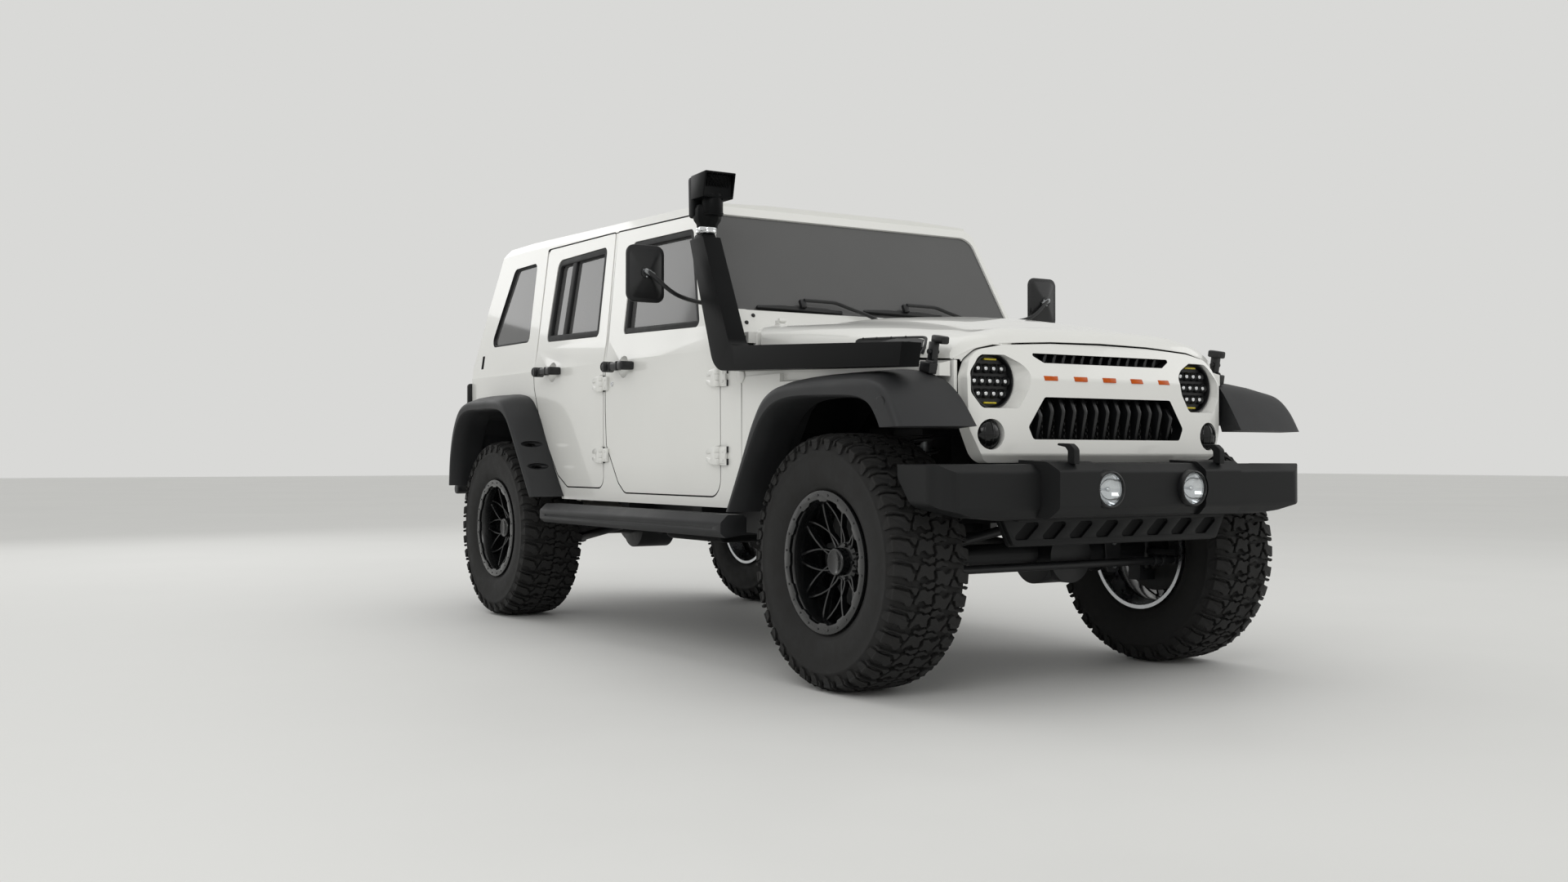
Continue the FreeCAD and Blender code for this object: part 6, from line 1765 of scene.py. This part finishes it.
for word, side in paired.items():
    middle = side * seatFrame["y"]
    for kind in ("cushion", "back", "head"):
        fitPad(kind, word + "Seat" + kind.title(), Matrix.Translation((0, middle, 0)))
    (x0, z0), (x1, z1) = seatFrame["post"]
    posts = [startRod("headPost", (x0, middle + y, z0), (x1, middle + y, z1), 0.0065, 14)
        for y in seatFrame["posts"]]
    fit(joined(posts, word + "HeadPosts"), "body", "chromePlate")
    hinge = bevelled(plate("seatHinge", rounded(seatFrame["hinge"]), 1, middle - 0.236, middle - 0.226),
        0.003, 2)
    other = copied(hinge, "seatHinge", Matrix.Translation((0, seatFrame["hingeGap"], 0)))
    fit(joined([hinge, other], word + "SeatHinges"), "body", "glassFilledNylon")
fitPad("bench", "rearBenchCushion")
fitPad("benchBack", "rearBenchBack")
dropped(seatPads.values())
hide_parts("front_seats")
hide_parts("rear_seat")
print("cabin done")

# Tailgate with its latch.
gateLook = {"plate": metres([(470, 1090, 20), (590, 1090, 20), (590, 1150, 20), (470, 1150, 20)]),
    "boxes": [("latchGrip", (-1.934, 0.488, 1.106), (-1.914, 0.572, 1.132), 0.007, 3),
        ("latchFoot", (-1.920, 0.488, 1.108), (-1.900, 0.504, 1.130), 0.004, 2),
        ("latchFoot", (-1.920, 0.556, 1.108), (-1.900, 0.572, 1.130), 0.004, 2)]}
gate = weighted(bevelled(nodeCopy("tailgate", "tailgateShell"), 0.004, 3, 25))
fit(gate, "tailgate", "lacqueredPaint", ["tailgate"])
painted(gate, "dashboardSkin", lambda c, n: n.x > 0.3)
latchParts = [bevelled(plate("latchPlate", rounded(gateLook["plate"]), 0, -1.906, -1.894), 0.003, 2)]
latchParts += [easedBox(*row) for row in gateLook["boxes"]]
fit(joined(latchParts, "tailgateLatch"), "tailgate", "glassFilledNylon")

# Tail lamps: black housing, red lens with ridges, clear centre.
tailLook = {"y": 0.746, "z": 1.121, "half": (0.0455, 0.0605), "ribs": (-0.040, -0.030, 0.030, 0.040),
    "clear": (0.026, 0.013)}


def around(centre, half, radius):
    (y, z), (wide, tall) = centre, half
    return [(y + a * wide, z + b * tall, radius) for a, b in ((-1, -1), (1, -1), (1, 1), (-1, 1))]


for word, side in paired.items():
    y, z = centre = (side * tailLook["y"], tailLook["z"])
    box = around(centre, tailLook["half"], 0.015)
    housing = bevelled(plate("tailHousing", rounded(box), 0, -1.9075, -1.8905), 0.004, 3)
    cutBy(housing, [plate("tailPocket", rounded(shrunk(box, 0.009)), 0, -1.92, -1.902)])
    fit(smooth(housing, 35), "body", "glassFilledNylon").name = word + "TailHousing"
    lens = [bevelled(plate("tailLens", rounded(shrunk(box, 0.0095)), 0, -1.9135, -1.9015), 0.003, 3)]
    lens += [easedBox("lensRib", (-1.9158, y - 0.033, z + up - 0.002), (-1.912, y + 0.033, z + up + 0.002),
            0.001, 1) for up in tailLook["ribs"]]
    fit(joined(lens, word + "TailLens"), "body", "redAcrylic")
    clear = plate("reverseLens", rounded(around(centre, tailLook["clear"], 0.006)), 0, -1.9156, -1.9125)
    fit(bevelled(clear, 0.001, 2), "body", "plateEnamel").name = word + "ReverseLens"
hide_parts("tail_lamps")

# Rear bumper: tubes with closed ends and step pads.
rearBumperLook = {"x": -1.948, "tubes": (0.732, 0.618), "ends": (0.780, 0.834), "radius": 0.0262,
    "padY": 0.700}
ends = []
for side in (-1, 1):
    x, (start, end), pad = rearBumperLook["x"], rearBumperLook["ends"], side * rearBumperLook["padY"]
    ends += [easedRod("tubeEnd", (x, side * start, z), (x, side * end, z), rearBumperLook["radius"], 32,
            0.006, 3) for z in rearBumperLook["tubes"]]
    ends.append(easedBox("stepPad", (-1.966, pad - 0.050, 0.640), (-1.940, pad + 0.050, 0.712), 0.006, 2))
rearBumper = bevelled(nodeCopy("rear_bumper", "rearBumperShell"), 0.006, 3, 35)
fit(joined([rearBumper] + ends, "rearBumperShell"), "body", "powderCoatedSteel",
    ["rear_bumper"])

# Fuel filler on the left, the blank plate and its bracket.
filler = turned("filler", metres([(0, 3.5), (50, 3), (54, 6), (59, 6), (62, 3), (62, -4), (0, -4)]),
    (-1.720, sideAt(1.140) - 0.0005, 1.140), (0, 1, 0), 48)
fit(smooth(filler, 35), "body", "glassFilledNylon").name = "fuelFiller"
plateCentre = (0.405, 0.8775)
plateRows = [
    # name, half size, corner radius, places along x, rounding, slot, finish
    ("blankPlate", (0.155, 0.0775), 0.008, (-1.906, -1.900), 0.0015, "white_paint", "plateEnamel"),
    ("plateBracket", (0.163, 0.0855), 0.010, (-1.9005, -1.894), 0.002, "black_plastic", "glassFilledNylon")]
for name, half, radius, places, easing, slot, finish in plateRows:
    piece = plate(name, rounded(around(plateCentre, half, radius)), 0, *places)
    fit(bevelled(piece, easing, 2), "tailgate", finish)

# Nodes kept from the CAD model, with new finishes.
keptNodes = {
    "powderCoatedSteel": ("frame", "spring_towers", "seat_bases"), "sandCastIron": ("driveline", "gearbox"),
    "aluminisedSteel": ("exhaust",), "mouldedPolyethylene": ("fuel_tank", "fender_liners"),
    "privacyGlass": ("hardtop_glass", "front_door_left_glass", "front_door_right_glass",
        "rear_door_left_glass", "rear_door_right_glass")}
for finish, nodeNames in keptNodes.items():
    for nodeName in nodeNames:
        for place in cadNodes[nodeName].material_slots:
            place.link = "OBJECT"
            place.material = finishes[finish]
print("rear done")
